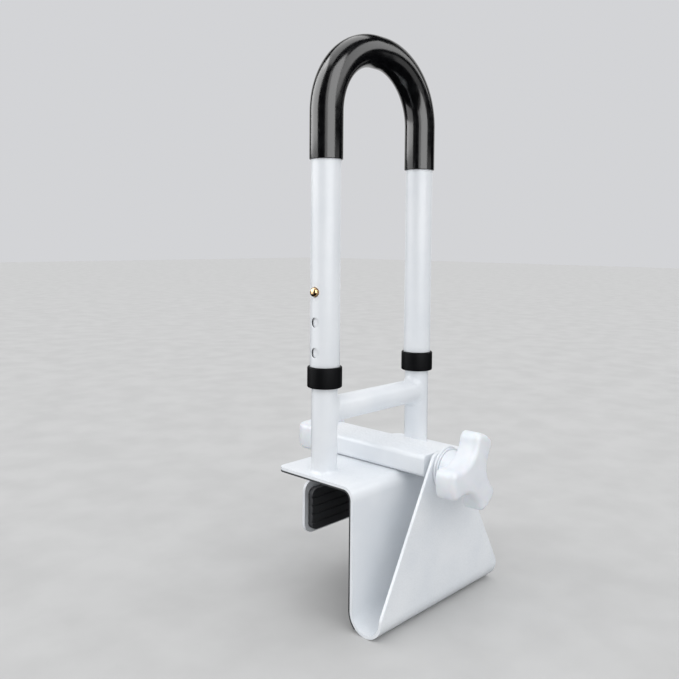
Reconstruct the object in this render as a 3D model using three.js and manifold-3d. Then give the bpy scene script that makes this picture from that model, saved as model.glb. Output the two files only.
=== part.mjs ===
// Clamp-on safety rail for the rim of a bathtub.
//
// Millimetres. X runs along the rim, Y points into the tub, Z is up.
// The origin lies on the underside of the rim liner, midway between the two posts.

import * as THREE from "three";
import { mergeVertices } from "three/addons/utils/BufferGeometryUtils.js";
import Module from "manifold-3d";

const wasm = await Module();
wasm.setup();

// Clearances that the pieces share
const seatGap = 0.25;
const fitGap = 0.3;
const overrun = 5;

// Folded bracket, one sheet: top plate, outer leg, U fold and tongue
const sheet = 2.5;
const linerThickness = 1.4;
const glueLine = 0.1;
const plateMargin = 18.5;
const plateDepth = 85.5;
const legFaceY = -47.5;
const rimBendRadius = 8;
const foldOuterRadius = 16.4;
const foldCentreZ = -94.9;
const tongueTopZ = 24.5;
const tongueTopHalfWidth = 15.5;
const tongueSideSlope = 0.565;
const tongueTipRadius = 8;
const tongueFootRadius = 10;
const plateCornerRadius = 7;
const linerSetback = 1;
const linerEndAngle = THREE.MathUtils.degToRad(50);

// Posts and cross tube
const legSpacing = 127;
const postRadius = 11.1;
const postWall = 1.5;
const postTopZ = 200;
const crossTubeZ = 55.8;
const crossTubeRadius = 11;
const crossTubeWall = 1.5;

// Handle tube and its grip
const handleRadius = 12.7;
const handleWall = 1.2;
const archCentreZ = 305.8;
const archFlat = 7;
const gripRadius = 14.2;
const gripEndZ = 266.5;

// Collars on the lower ends of the handle's legs
const collarRadius = 14.8;
const collarBottomZ = 76;
const collarHeight = 17.7;
const collarLip = 2.5;
const collarEdge = 1.2;

// Height holes, snap buttons and their leaf springs
const holePitch = 25.4;
const holeCount = 3;
const buttonZ = 156.5;
const holeRadius = 4.1;
const buttonRadius = 3.8;
const buttonProud = 3.3;
const domeHeight = 2.4;
const rivetRadius = 1.6;
const rivetHeadRadius = 2.6;
const rivetHeadHeight = 0.8;
const springWidth = 7.6;
const springThickness = 0.8;
const springOffset = 7.6;
const springBelow = 38;
const springAbove = 7;
const springBackBelow = 21;
const springBackAbove = 4;
const springTurnRadius = 4;

// Clamp bar, its threaded end plate and its end cap
const barWidth = 42;
const barHeight = 18.4;
const barWall = 1.2;
const barCornerRadius = 4;
const barTongueGap = 4.8;
const barPastJaw = 0.6;
const capLength = 24;
const capLip = 2.4;
const capEdgeRadius = 4.5;
const capPlanRadius = 15;
const plugLength = 12;
const endPlateThickness = 6;

// Inner jaw and its pad
const jawSheet = 3;
const jawPlateGap = 4;
const jawFlangeLength = 11;
const jawNeckHalfWidth = 12;
const jawHalfWidth = 45;
const jawNeckDrop = 12;
const jawShoulderDrop = 27;
const jawDrop = 72;
const jawCornerRadius = 10;
const jawBendRadius = 4;
const padThickness = 5.8;
const padHalfWidth = 41;
const padBottomMargin = 4;
const padHeight = 38;
const padCornerRadius = 6;
const padRibs = 5;
const padGrooveWidth = 2;
const padGrooveDepth = 1.2;

// Knob, bolt, washers and retaining ring
const boltRadius = 4;
const boltDrop = 3.6;
const boltPastTongue = 65.3;
const boltHeadRadius = 7.5;
const boltHeadHeight = 5.3;
const boltHoleClearance = 0.4;
const ringRadius = 8;
const ringThickness = 1.5;
const washerRadius = 18.5;
const washerThickness = 1.8;
const thrustWasherRadius = 17.2;
const thrustWasherThickness = 1.2;
const hubRadius = 16;
const hubLength = 10;
const knobThickness = 18;
const knobTipRadius = 34.2;
const knobValleyRadius = 16.5;
const lobeCornerRadius = 6.5;
const lobeCornerAngle = THREE.MathUtils.degToRad(12);
const knobFrontRounding = 5;
const knobBackRounding = 1.5;
const knobTurn = THREE.MathUtils.degToRad(66);
const lobeCount = 3;

// Facet counts
const tubeSegments = 14;
const archSteps = 12;
const bendSteps = 8;
const foldSteps = 16;
const cornerSteps = 6;
const edgeSteps = 2;
const holeSides = 20;
const roundSides = 40;
const hexSides = 6;

// Heights and places that follow from the sizes above
const bracketWidth = legSpacing + 2 * plateMargin;
const plateInnerY = legFaceY + plateDepth;
const plateUnderZ = linerThickness + glueLine;
const plateTopZ = plateUnderZ + sheet;
const foldCentreY = legFaceY - foldOuterRadius;
const foldBottomZ = foldCentreZ - foldOuterRadius;
const tongueOuterY = legFaceY - 2 * foldOuterRadius;
const tongueInnerY = tongueOuterY + sheet;
const barBottomZ = plateTopZ + fitGap;
const barCentreZ = barBottomZ + barHeight / 2;
const barOuterY = tongueInnerY + barTongueGap;
const boltZ = barCentreZ - boltDrop;
const barInnerHalfWidth = barWidth / 2 - barWall;
const barInnerHalfHeight = barHeight / 2 - barWall;
const handleBore = handleRadius - handleWall;
const legX = legSpacing / 2;
const archRadius = legX - archFlat / 2;
const washerY = tongueOuterY - seatGap - washerThickness;
const thrustWasherY = washerY - seatGap - thrustWasherThickness;
const knobBackY = thrustWasherY - seatGap - hubLength;
const knobFrontY = knobBackY - knobThickness;
const boltHeadY = knobBackY - knobThickness / 2;
const boltEndY = tongueOuterY + boltPastTongue;
const jawY = plateInnerY + jawPlateGap;
const jawEndY = jawY + jawSheet + jawFlangeLength;
const barInnerY = jawEndY + barPastJaw;
const jawTopZ = barBottomZ - seatGap;
const padFaceY = jawY - seatGap - padThickness;
const ribPitch = padHeight / padRibs;

// Finishes
const powderCoat = { color: "#e9ecf0", roughness: 0.45, metalness: 0 };
const blackVinyl = { color: "#121315", roughness: 0.18, metalness: 0 };
const blackPlastic = { color: "#1b1c1e", roughness: 0.5, metalness: 0 };
const linerRubber = { color: "#45474a", roughness: 0.85, metalness: 0 };
const brass = { color: "#c9a063", roughness: 0.25, metalness: 1 };
const springSteel = { color: "#8d9196", roughness: 0.35, metalness: 1 };
const zincSteel = { color: "#b9bdc2", roughness: 0.3, metalness: 1 };
const whiteNylon = { color: "#e6eaee", roughness: 0.4, metalness: 0 };

// Solids and meshes

function solid(geometry) {
  const bare = geometry.clone();
  bare.deleteAttribute("normal");
  bare.deleteAttribute("uv");
  const merged = mergeVertices(bare);
  const vertProperties = new Float32Array(merged.attributes.position.array);
  const triVerts = new Uint32Array(merged.index.array);
  return new wasm.Manifold(new wasm.Mesh({ numProp: 3, vertProperties, triVerts }));
}

function cut(body, ...tools) {
  return tools.reduce((rest, tool) => rest.subtract(solid(tool)), solid(body));
}

function join(body, ...others) {
  return others.reduce((sum, other) => sum.add(solid(other)), solid(body));
}

function geometryOf(manifold) {
  const mesh = manifold.getMesh();
  const geometry = new THREE.BufferGeometry();
  geometry.setAttribute("position", new THREE.BufferAttribute(mesh.vertProperties, 3));
  geometry.setIndex(new THREE.BufferAttribute(mesh.triVerts, 1));
  geometry.computeVertexNormals();
  return geometry;
}

function piece(name, shape, finish) {
  const geometry = shape.isBufferGeometry ? shape : geometryOf(shape);
  const mesh = new THREE.Mesh(geometry, new THREE.MeshStandardMaterial(finish));
  mesh.name = name;
  return mesh;
}

// Basic forms

function ringShape(outerRadius, innerRadius) {
  const shape = new THREE.Shape().absarc(0, 0, outerRadius, 0, 2 * Math.PI);
  shape.holes.push(new THREE.Path().absarc(0, 0, innerRadius, 0, 2 * Math.PI, true));
  return shape;
}

function uprightTube(outerRadius, innerRadius, bottomZ, topZ) {
  const settings = { depth: topZ - bottomZ, bevelEnabled: false, curveSegments: tubeSegments };
  return new THREE.ExtrudeGeometry(ringShape(outerRadius, innerRadius), settings).translate(0, 0, bottomZ);
}

function rodAlongX(radius, fromX, toX, sides = holeSides) {
  const rod = new THREE.CylinderGeometry(radius, radius, toX - fromX, sides);
  return rod.rotateZ(Math.PI / 2).translate((fromX + toX) / 2, 0, 0);
}

function rodAlongY(radius, fromY, toY, sides = roundSides) {
  const rod = new THREE.CylinderGeometry(radius, radius, toY - fromY, sides);
  return rod.translate(0, (fromY + toY) / 2, 0);
}

// A shape drawn in Y and Z, extruded along X and centred on X = 0
function alongX(shape, width) {
  const basis = new THREE.Matrix4().makeBasis(
    new THREE.Vector3(0, 1, 0), new THREE.Vector3(0, 0, 1), new THREE.Vector3(1, 0, 0));
  const settings = { depth: width, bevelEnabled: false };
  return new THREE.ExtrudeGeometry(shape, settings).translate(0, 0, -width / 2).applyMatrix4(basis);
}

// A shape drawn in X and Z, extruded along Y between two values
function alongY(shape, fromY, toY) {
  const basis = new THREE.Matrix4().makeBasis(
    new THREE.Vector3(1, 0, 0), new THREE.Vector3(0, 0, 1), new THREE.Vector3(0, -1, 0));
  const settings = { depth: toY - fromY, bevelEnabled: false, curveSegments: cornerSteps };
  return new THREE.ExtrudeGeometry(shape, settings).translate(0, 0, -toY).applyMatrix4(basis);
}

function arcPoints(centreX, centreY, radius, fromAngle, toAngle, steps) {
  return Array.from({ length: steps + 1 }, (_, i) => {
    const angle = fromAngle + (toAngle - fromAngle) * i / steps;
    return new THREE.Vector2(centreX + radius * Math.cos(angle), centreY + radius * Math.sin(angle));
  });
}

// A polygon whose corners are rounded, each by its own radius
function roundedPolygon(corners) {
  const points = corners.flatMap(({ x, y, radius }, i) => {
    const here = new THREE.Vector2(x, y);
    if (!radius) return [here];
    const before = corners[(i + corners.length - 1) % corners.length];
    const after = corners[(i + 1) % corners.length];
    const back = new THREE.Vector2(before.x - x, before.y - y).normalize();
    const ahead = new THREE.Vector2(after.x - x, after.y - y).normalize();
    const halfAngle = Math.acos(back.dot(ahead)) / 2;
    const inward = back.clone().add(ahead).normalize();
    const centre = here.clone().addScaledVector(inward, radius / Math.sin(halfAngle));
    const reach = radius / Math.tan(halfAngle);
    const start = here.clone().addScaledVector(back, reach).sub(centre).angle();
    const end = here.clone().addScaledVector(ahead, reach).sub(centre).angle();
    const turn = Math.atan2(Math.sin(end - start), Math.cos(end - start));
    return arcPoints(centre.x, centre.y, radius, start, start + turn, cornerSteps);
  });
  return new THREE.Shape(points);
}

function roundedRectanglePoints(halfWidth, halfHeight, radius) {
  const centres = [[1, 1], [-1, 1], [-1, -1], [1, -1]];
  return centres.flatMap(([sideX, sideY], quarter) => arcPoints(
    sideX * (halfWidth - radius), sideY * (halfHeight - radius), radius,
    quarter * Math.PI / 2, (quarter + 1) * Math.PI / 2, cornerSteps));
}

// A closed skin over rings of equal length, the ends closed by fans around their centres
function loft(rings) {
  const count = rings[0].length;
  const centreOf = (ring) => ring.reduce((sum, p) => sum.add(p), new THREE.Vector3()).divideScalar(count);
  const points = [...rings.flat(), centreOf(rings[0]), centreOf(rings.at(-1))];
  const first = rings.length * count;
  const index = [];
  for (let r = 0; r + 1 < rings.length; r++) {
    for (let i = 0; i < count; i++) {
      const a = r * count + i;
      const b = r * count + (i + 1) % count;
      index.push(a, b, b + count, a, b + count, a + count);
    }
  }
  for (let i = 0; i < count; i++) {
    const next = (i + 1) % count;
    index.push(first, next, i, first + 1, first - count + i, first - count + next);
  }
  const geometry = new THREE.BufferGeometry().setFromPoints(points);
  geometry.setIndex(index);
  return geometry;
}

// Folded sheet: the line of the tub-side face, moved outwards by a distance

function sheetLine(offset, startY, foldEndAngle, endZ) {
  const bend = arcPoints(legFaceY + rimBendRadius, plateUnderZ - rimBendRadius, rimBendRadius + offset,
    Math.PI / 2, Math.PI, bendSteps);
  const fold = arcPoints(foldCentreY, foldCentreZ, foldOuterRadius - offset, 0, -foldEndAngle, foldSteps);
  const line = [new THREE.Vector2(startY, plateUnderZ + offset), ...bend, ...fold];
  return endZ === undefined ? line : [...line, new THREE.Vector2(fold.at(-1).x, endZ)];
}

function foldedLayer(nearOffset, farOffset, startY, foldEndAngle, endZ) {
  const near = sheetLine(nearOffset, startY, foldEndAngle, endZ);
  const far = sheetLine(farOffset, startY, foldEndAngle, endZ);
  return alongX(new THREE.Shape([...near, ...far.reverse()]), bracketWidth);
}

// The bracket's plan, its inner corners rounded
function planOutline() {
  const half = bracketWidth / 2;
  const outline = roundedPolygon([
    { x: half, y: plateInnerY, radius: plateCornerRadius },
    { x: -half, y: plateInnerY, radius: plateCornerRadius },
    { x: -half, y: tongueOuterY - overrun },
    { x: half, y: tongueOuterY - overrun }]);
  const depth = tongueTopZ - foldBottomZ + 2 * overrun;
  return new THREE.ExtrudeGeometry(outline, { depth, bevelEnabled: false })
    .translate(0, 0, foldBottomZ - overrun);
}

// Everything beside and above the tapered tongue
function tongueWaste() {
  const half = bracketWidth / 2;
  const taperStartZ = tongueTopZ - (half - tongueTopHalfWidth) / tongueSideSlope;
  const lowZ = foldBottomZ - overrun;
  const corners = [
    { x: half, y: lowZ },
    { x: half, y: taperStartZ, radius: tongueFootRadius },
    { x: tongueTopHalfWidth, y: tongueTopZ, radius: tongueTipRadius },
    { x: -tongueTopHalfWidth, y: tongueTopZ, radius: tongueTipRadius },
    { x: -half, y: taperStartZ, radius: tongueFootRadius },
    { x: -half, y: lowZ },
  ];
  const waste = new THREE.Shape([
    new THREE.Vector2(-half - overrun, lowZ - overrun), new THREE.Vector2(half + overrun, lowZ - overrun),
    new THREE.Vector2(half + overrun, tongueTopZ + overrun),
    new THREE.Vector2(-half - overrun, tongueTopZ + overrun)]);
  waste.holes.push(roundedPolygon(corners));
  return alongY(waste, tongueOuterY - overrun, foldCentreY);
}

function baseBracket() {
  const folded = foldedLayer(0, sheet, plateInnerY, Math.PI, tongueTopZ);
  const boltHole = rodAlongY(boltRadius + boltHoleClearance, tongueOuterY - overrun, tongueInnerY + overrun)
    .translate(0, 0, boltZ);
  const trimmed = solid(folded).intersect(solid(planOutline()));
  return trimmed.subtract(solid(tongueWaste())).subtract(solid(boltHole));
}

function rimLiner() {
  const layer = foldedLayer(-glueLine - linerThickness, -glueLine, plateInnerY - linerSetback, linerEndAngle);
  return solid(layer).intersect(solid(planOutline()));
}

// Posts and cross tube

function post(outward) {
  const tube = uprightTube(postRadius, postRadius - postWall, plateTopZ, postTopZ);
  const near = Math.min(0, outward * (postRadius + overrun));
  const far = Math.max(0, outward * (postRadius + overrun));
  return cut(tube, rodAlongX(holeRadius, near, far).translate(0, 0, buttonZ));
}

function crossTube() {
  const radii = [crossTubeRadius, crossTubeRadius - crossTubeWall];
  const [outside, bore] = radii.map((radius) => rodAlongX(radius, -legX, legX, 2 * tubeSegments));
  const saddleRadius = postRadius + seatGap;
  const saddle = new THREE.CylinderGeometry(saddleRadius, saddleRadius, 4 * crossTubeRadius, 2 * tubeSegments)
    .rotateX(Math.PI / 2);
  return cut(outside, bore, ...[-legX, legX].map((x) => saddle.clone().translate(x, 0, 0)));
}

// Handle: the line of the U tube through chosen stations, straight legs between them

class StationPath extends THREE.Curve {
  constructor(stations) {
    super();
    this.stations = stations;
  }

  station(share) {
    return this.stations[Math.round(share * (this.stations.length - 1))];
  }

  getPointAt(share, target = new THREE.Vector3()) {
    return target.copy(this.station(share).point);
  }

  getTangentAt(share, target = new THREE.Vector3()) {
    return target.copy(this.station(share).tangent);
  }
}

function handlePath(endZ) {
  const stationAt = (x, z, angle) => ({
    point: new THREE.Vector3(x, 0, z),
    tangent: new THREE.Vector3(Math.sin(angle), 0, Math.cos(angle)),
  });
  const quarter = (side) => Array.from({ length: archSteps + 1 }, (_, i) => {
    const turn = (side < 0 ? i : archSteps - i) / archSteps * Math.PI / 2;
    const x = side * (archFlat / 2 + archRadius * Math.cos(turn));
    const z = archCentreZ + archRadius * Math.sin(turn);
    return stationAt(x, z, side < 0 ? turn : Math.PI - turn);
  });
  return new StationPath([
    stationAt(-legX, endZ, 0), ...quarter(-1), ...quarter(1), stationAt(legX, endZ, Math.PI)]);
}

function alongHandle(outerRadius, innerRadius, endZ) {
  const extrudePath = handlePath(endZ);
  const steps = extrudePath.stations.length - 1;
  const settings = { extrudePath, steps, curveSegments: tubeSegments };
  return new THREE.ExtrudeGeometry(ringShape(outerRadius, innerRadius), settings);
}

function handleTube() {
  const tube = alongHandle(handleRadius, handleBore, collarBottomZ + collarLip + seatGap);
  const holes = [-1, 1].flatMap((side) => Array.from({ length: holeCount }, (_, i) => {
    const reach = [side * legX, side * (legX + handleRadius + overrun)].sort((a, b) => a - b);
    return rodAlongX(holeRadius, ...reach).translate(0, 0, buttonZ - i * holePitch);
  }));
  return cut(tube, ...holes);
}

function grip() {
  return alongHandle(gripRadius, handleRadius + seatGap, gripEndZ);
}

function collar() {
  const bore = postRadius + fitGap;
  const seat = handleRadius + seatGap;
  const top = collarHeight;
  const edgeX = collarRadius - collarEdge;
  const bottomEdge = arcPoints(edgeX, collarEdge, collarEdge, -Math.PI / 2, 0, cornerSteps);
  const topEdge = arcPoints(edgeX, top - collarEdge, collarEdge, 0, Math.PI / 2, cornerSteps);
  const profile = [
    new THREE.Vector2(bore, 0), ...bottomEdge, ...topEdge, new THREE.Vector2(seat, top),
    new THREE.Vector2(seat, collarLip), new THREE.Vector2(bore, collarLip), new THREE.Vector2(bore, 0)];
  return new THREE.LatheGeometry(profile, 2 * tubeSegments)
    .rotateX(Math.PI / 2).translate(0, 0, collarBottomZ);
}

// Snap button and leaf spring, drawn with the button pointing along +X from the post's axis

function snapButton() {
  const baseX = springOffset + springThickness + seatGap;
  const tipX = handleRadius + buttonProud;
  const dome = arcPoints(0, 0, 1, 0, Math.PI / 2, cornerSteps).map((share) => new THREE.Vector2(
    buttonRadius * share.x, tipX - domeHeight + domeHeight * share.y));
  const rivetEnd = springOffset - seatGap;
  const rivetTop = rivetEnd - rivetHeadHeight;
  const profile = [
    new THREE.Vector2(0, rivetTop), new THREE.Vector2(rivetHeadRadius, rivetTop),
    new THREE.Vector2(rivetHeadRadius, rivetEnd), new THREE.Vector2(rivetRadius, rivetEnd),
    new THREE.Vector2(rivetRadius, baseX), new THREE.Vector2(buttonRadius, baseX), ...dome.slice(0, -1),
    new THREE.Vector2(0, tipX)];
  return new THREE.LatheGeometry(profile, holeSides).rotateZ(-Math.PI / 2);
}

function springLine(inset) {
  const outerX = springOffset + springThickness - inset;
  const turnRadius = springTurnRadius - inset;
  const backX = -outerX;
  const turn = arcPoints(0, -springBelow, turnRadius, 0, -Math.PI, bendSteps);
  return [
    new THREE.Vector2(outerX, springAbove), new THREE.Vector2(outerX, -springAbove), ...turn,
    new THREE.Vector2(backX, -springBackBelow), new THREE.Vector2(backX, springBackAbove)];
}

function leafSpring() {
  const outline = new THREE.Shape([...springLine(0), ...springLine(springThickness).reverse()]);
  const rivetHole = rodAlongX(rivetRadius + seatGap, 0, springOffset + overrun);
  return cut(alongY(outline, -springWidth / 2, springWidth / 2), rivetHole);
}

// Clamp bar, end plate and cap, drawn around the bar's own axis

function barSection(halfWidth, halfHeight, radius) {
  return new THREE.Shape(roundedRectanglePoints(halfWidth, halfHeight, radius));
}

function plugSection() {
  return barSection(barInnerHalfWidth - seatGap, barInnerHalfHeight - seatGap, barCornerRadius - barWall);
}

function clampBar() {
  const section = barSection(barWidth / 2, barHeight / 2, barCornerRadius);
  const hollow = roundedRectanglePoints(barInnerHalfWidth, barInnerHalfHeight, barCornerRadius - barWall);
  section.holes.push(new THREE.Path(hollow.reverse()));
  return alongY(section, barOuterY + endPlateThickness + seatGap, barInnerY);
}

// The cap's head is a plan outline with rounded edges, and stands proud of the bar; its plug fills the bar
function barEndCap() {
  const headStart = barInnerY + seatGap;
  const headEnd = headStart + capLength;
  const halfWidth = barWidth / 2 + capLip - capEdgeRadius;
  const headHeight = barHeight + 2 * capLip;
  const radius = capPlanRadius - capEdgeRadius;
  const outline = roundedPolygon([
    { x: -halfWidth, y: barInnerY - overrun },
    { x: halfWidth, y: barInnerY - overrun },
    { x: halfWidth, y: headEnd - capEdgeRadius, radius },
    { x: -halfWidth, y: headEnd - capEdgeRadius, radius }]);
  const settings = {
    depth: headHeight - 2 * capEdgeRadius, bevelThickness: capEdgeRadius, bevelSize: capEdgeRadius,
    bevelSegments: cornerSteps,
  };
  const head = new THREE.ExtrudeGeometry(outline, settings).translate(0, 0, capEdgeRadius - headHeight / 2);
  const behind = new THREE.BoxGeometry(2 * barWidth, barWidth, 2 * barHeight)
    .translate(0, headStart - barWidth / 2, 0);
  return cut(head, behind).add(solid(alongY(plugSection(), barInnerY - plugLength, headEnd - capPlanRadius)));
}

// The end plate's threaded hole sits below the bar's middle, near the rim
function endPlate() {
  const section = barSection(barWidth / 2, barHeight / 2, barCornerRadius);
  const bore = rodAlongY(boltRadius + seatGap, barOuterY - overrun, barOuterY + overrun + endPlateThickness)
    .translate(0, 0, -boltDrop);
  return cut(alongY(section, barOuterY, barOuterY + endPlateThickness), bore);
}

// Inner jaw: an angle, its flange under the bar and its plate hanging inside the tub

function innerJaw() {
  const bend = arcPoints(jawY + jawBendRadius, jawTopZ - jawBendRadius, jawBendRadius,
    Math.PI, Math.PI / 2, cornerSteps);
  const inside = arcPoints(jawY + jawBendRadius, jawTopZ - jawBendRadius, jawBendRadius - jawSheet,
    Math.PI / 2, Math.PI, cornerSteps);
  const angle = new THREE.Shape([
    new THREE.Vector2(jawY, jawTopZ - jawDrop), ...bend, new THREE.Vector2(jawEndY, jawTopZ),
    new THREE.Vector2(jawEndY, jawTopZ - jawSheet), ...inside,
    new THREE.Vector2(jawY + jawSheet, jawTopZ - jawDrop)].reverse());
  const outline = roundedPolygon([
    { x: jawNeckHalfWidth, y: jawTopZ + overrun },
    { x: -jawNeckHalfWidth, y: jawTopZ + overrun },
    { x: -jawNeckHalfWidth, y: jawTopZ - jawNeckDrop, radius: jawCornerRadius },
    { x: -jawHalfWidth, y: jawTopZ - jawShoulderDrop, radius: jawCornerRadius },
    { x: -jawHalfWidth, y: jawTopZ - jawDrop, radius: jawCornerRadius },
    { x: jawHalfWidth, y: jawTopZ - jawDrop, radius: jawCornerRadius },
    { x: jawHalfWidth, y: jawTopZ - jawShoulderDrop, radius: jawCornerRadius },
    { x: jawNeckHalfWidth, y: jawTopZ - jawNeckDrop, radius: jawCornerRadius }]);
  const front = alongY(outline, jawY - overrun, jawEndY + overrun);
  return solid(alongX(angle, 2 * jawHalfWidth)).intersect(solid(front));
}

function jawPad() {
  const bottomZ = jawTopZ - jawDrop + padBottomMargin;
  const topZ = bottomZ + padHeight;
  const outline = roundedPolygon([
    { x: padHalfWidth, y: topZ, radius: padCornerRadius },
    { x: -padHalfWidth, y: topZ, radius: padCornerRadius },
    { x: -padHalfWidth, y: bottomZ, radius: padCornerRadius },
    { x: padHalfWidth, y: bottomZ, radius: padCornerRadius }]);
  const grooves = Array.from({ length: padRibs - 1 }, (_, i) => {
    const groove = new THREE.BoxGeometry(2 * padHalfWidth + overrun, 2 * padGrooveDepth, padGrooveWidth);
    return groove.translate(0, padFaceY, bottomZ + ribPitch * (i + 1));
  });
  return cut(alongY(outline, padFaceY, padFaceY + padThickness), ...grooves);
}

// Knob, bolt and washers, drawn around the bolt's axis

// Outline of the knob: blunt tips, rounded corners and hollow valleys between the lobes
function knobOutline(inset, y) {
  const cornerReach = knobTipRadius - lobeCornerRadius;
  const halfGap = Math.PI / lobeCount;
  const spread = Math.cos(halfGap - lobeCornerAngle);
  const valleyArc = (cornerReach ** 2 + knobValleyRadius ** 2 - 2 * cornerReach * knobValleyRadius * spread
    - lobeCornerRadius ** 2) / (2 * (cornerReach * spread + lobeCornerRadius - knobValleyRadius));
  const valleyReach = knobValleyRadius + valleyArc;
  const wrap = (from, to) => from + Math.atan2(Math.sin(to - from), Math.cos(to - from));
  const points = [];
  for (let lobe = 0; lobe < lobeCount; lobe++) {
    const axis = knobTurn + 2 * halfGap * lobe;
    const corner = (side) => {
      const angle = axis + side * lobeCornerAngle;
      return new THREE.Vector2(Math.cos(angle), Math.sin(angle)).multiplyScalar(cornerReach);
    };
    const valley = (side) => {
      const angle = axis + side * halfGap;
      return new THREE.Vector2(Math.cos(angle), Math.sin(angle)).multiplyScalar(valleyReach);
    };
    const lean = (side) => corner(side).sub(valley(side)).angle();
    const before = corner(-1);
    const after = corner(1);
    const tipFrom = axis - lobeCornerAngle;
    const tipTo = axis + lobeCornerAngle;
    const flankIn = wrap(tipFrom, lean(-1) + Math.PI);
    const flankOut = wrap(tipTo, lean(1) + Math.PI);
    const cornerArc = lobeCornerRadius - inset;
    points.push(
      ...arcPoints(before.x, before.y, cornerArc, flankIn, tipFrom, cornerSteps),
      ...arcPoints(0, 0, knobTipRadius - inset, tipFrom, tipTo, cornerSteps).slice(1),
      ...arcPoints(after.x, after.y, cornerArc, tipTo, flankOut, cornerSteps).slice(1));
    const nextValley = valley(1);
    const valleyFrom = lean(1);
    const valleyMiddle = wrap(valleyFrom, axis + halfGap + Math.PI);
    points.push(...arcPoints(nextValley.x, nextValley.y, valleyArc + inset,
      valleyFrom, 2 * valleyMiddle - valleyFrom, 2 * cornerSteps).slice(1, -1));
  }
  return points.map((point) => new THREE.Vector3(point.x, y, point.y));
}

function knobBody() {
  const front = arcPoints(0, 0, knobFrontRounding, 0, Math.PI / 2, cornerSteps).map((point) => knobOutline(
    knobFrontRounding - point.x, knobFrontY + knobFrontRounding - point.y));
  const back = arcPoints(0, 0, knobBackRounding, Math.PI / 2, 0, edgeSteps).map((point) => knobOutline(
    knobBackRounding - point.x, knobBackY - knobBackRounding + point.y));
  const body = loft([...back, ...front]);
  const hub = rodAlongY(hubRadius, knobBackY - knobBackRounding, knobBackY + hubLength);
  const headPocket = rodAlongY(boltHeadRadius + seatGap, boltHeadY - seatGap,
    boltHeadY + boltHeadHeight + seatGap, hexSides);
  const bore = rodAlongY(boltRadius + seatGap, boltHeadY, knobBackY + hubLength + overrun);
  return join(body, hub).subtract(solid(headPocket)).subtract(solid(bore));
}

function knobBolt() {
  const head = rodAlongY(boltHeadRadius, boltHeadY, boltHeadY + boltHeadHeight, hexSides);
  return join(head, rodAlongY(boltRadius, boltHeadY + boltHeadHeight / 2, boltEndY));
}

function washer(radius, thickness, outerFaceY) {
  const farY = outerFaceY + thickness;
  const hole = rodAlongY(boltRadius + boltHoleClearance, outerFaceY - overrun, farY + overrun);
  return cut(rodAlongY(radius, outerFaceY, farY), hole);
}

// The assembly

const rail = new THREE.Group();

rail.add(
  piece("base_bracket", baseBracket(), powderCoat),
  piece("rim_liner", rimLiner(), linerRubber));

const cross = piece("cross_tube", crossTube(), powderCoat);
cross.position.z = crossTubeZ;
rail.add(cross);

rail.add(
  piece("handle_tube", handleTube(), powderCoat),
  piece("grip", grip(), blackVinyl));

for (const [side, outward] of [["left", -1], ["right", 1]]) {
  const leg = new THREE.Group();
  leg.position.x = outward * legX;
  leg.add(
    piece(`post_${side}`, post(outward), powderCoat),
    piece(`collar_${side}`, collar(), blackPlastic));
  const snap = new THREE.Group();
  snap.position.z = buttonZ;
  snap.rotation.z = outward < 0 ? Math.PI : 0;
  snap.add(
    piece(`snap_button_${side}`, snapButton(), brass),
    piece(`snap_spring_${side}`, leafSpring(), springSteel));
  leg.add(snap);
  rail.add(leg);
}

const clamp = new THREE.Group();
clamp.position.z = barCentreZ;
clamp.add(
  piece("clamp_bar", clampBar(), powderCoat),
  piece("bar_end_cap", barEndCap(), whiteNylon),
  piece("threaded_end_plate", endPlate(), powderCoat));
rail.add(clamp);

const screw = new THREE.Group();
screw.position.z = boltZ;
screw.add(
  piece("knob", knobBody(), whiteNylon),
  piece("knob_bolt", knobBolt(), zincSteel),
  piece("knob_washer", washer(washerRadius, washerThickness, washerY), powderCoat),
  piece("thrust_washer", washer(thrustWasherRadius, thrustWasherThickness, thrustWasherY), whiteNylon),
  piece("retaining_ring", washer(ringRadius, ringThickness, tongueInnerY + seatGap), springSteel));
rail.add(screw);

rail.add(
  piece("inner_jaw", innerJaw(), powderCoat),
  piece("jaw_pad", jawPad(), linerRubber));

export default rail;
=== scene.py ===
# %% [markdown]
# # A clamp-on bathtub safety rail
#
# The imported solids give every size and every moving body. This lesson gives them their looks: edges
# rounded as press tools leave them, holes with soft rims, weld beads, a real screw thread, and
# finishes made of nodes. Shapes are drawn in millimetres, as on a workshop drawing, and are turned
# into metres when a mesh is made. X runs from post to post, Y from the knob to the jaw, Z up.

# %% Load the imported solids
import math
import bpy
import bmesh
from mathutils import Matrix, Vector


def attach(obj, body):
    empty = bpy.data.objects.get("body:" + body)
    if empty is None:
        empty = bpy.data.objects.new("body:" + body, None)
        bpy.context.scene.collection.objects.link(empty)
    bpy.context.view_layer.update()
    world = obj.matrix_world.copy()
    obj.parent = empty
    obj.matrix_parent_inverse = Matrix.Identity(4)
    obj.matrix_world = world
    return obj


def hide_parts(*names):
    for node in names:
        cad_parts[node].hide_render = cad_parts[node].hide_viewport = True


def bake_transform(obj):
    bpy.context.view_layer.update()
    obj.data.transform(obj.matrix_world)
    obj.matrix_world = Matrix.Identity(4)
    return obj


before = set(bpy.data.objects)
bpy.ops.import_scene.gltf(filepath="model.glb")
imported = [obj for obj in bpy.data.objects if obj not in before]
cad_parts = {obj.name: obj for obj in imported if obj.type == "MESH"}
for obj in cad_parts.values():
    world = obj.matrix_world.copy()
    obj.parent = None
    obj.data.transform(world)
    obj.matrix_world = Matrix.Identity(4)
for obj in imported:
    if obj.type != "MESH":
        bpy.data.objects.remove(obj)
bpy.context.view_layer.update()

# %% [markdown]
# ## Outlines
#
# Pressed and turned parts are drawn as outlines first. A corner on such a drawing carries a radius,
# so one function takes corners with radii and gives the rounded outline. It serves the plates, the
# bar's section and the profiles of everything that is turned on a lathe.

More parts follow.
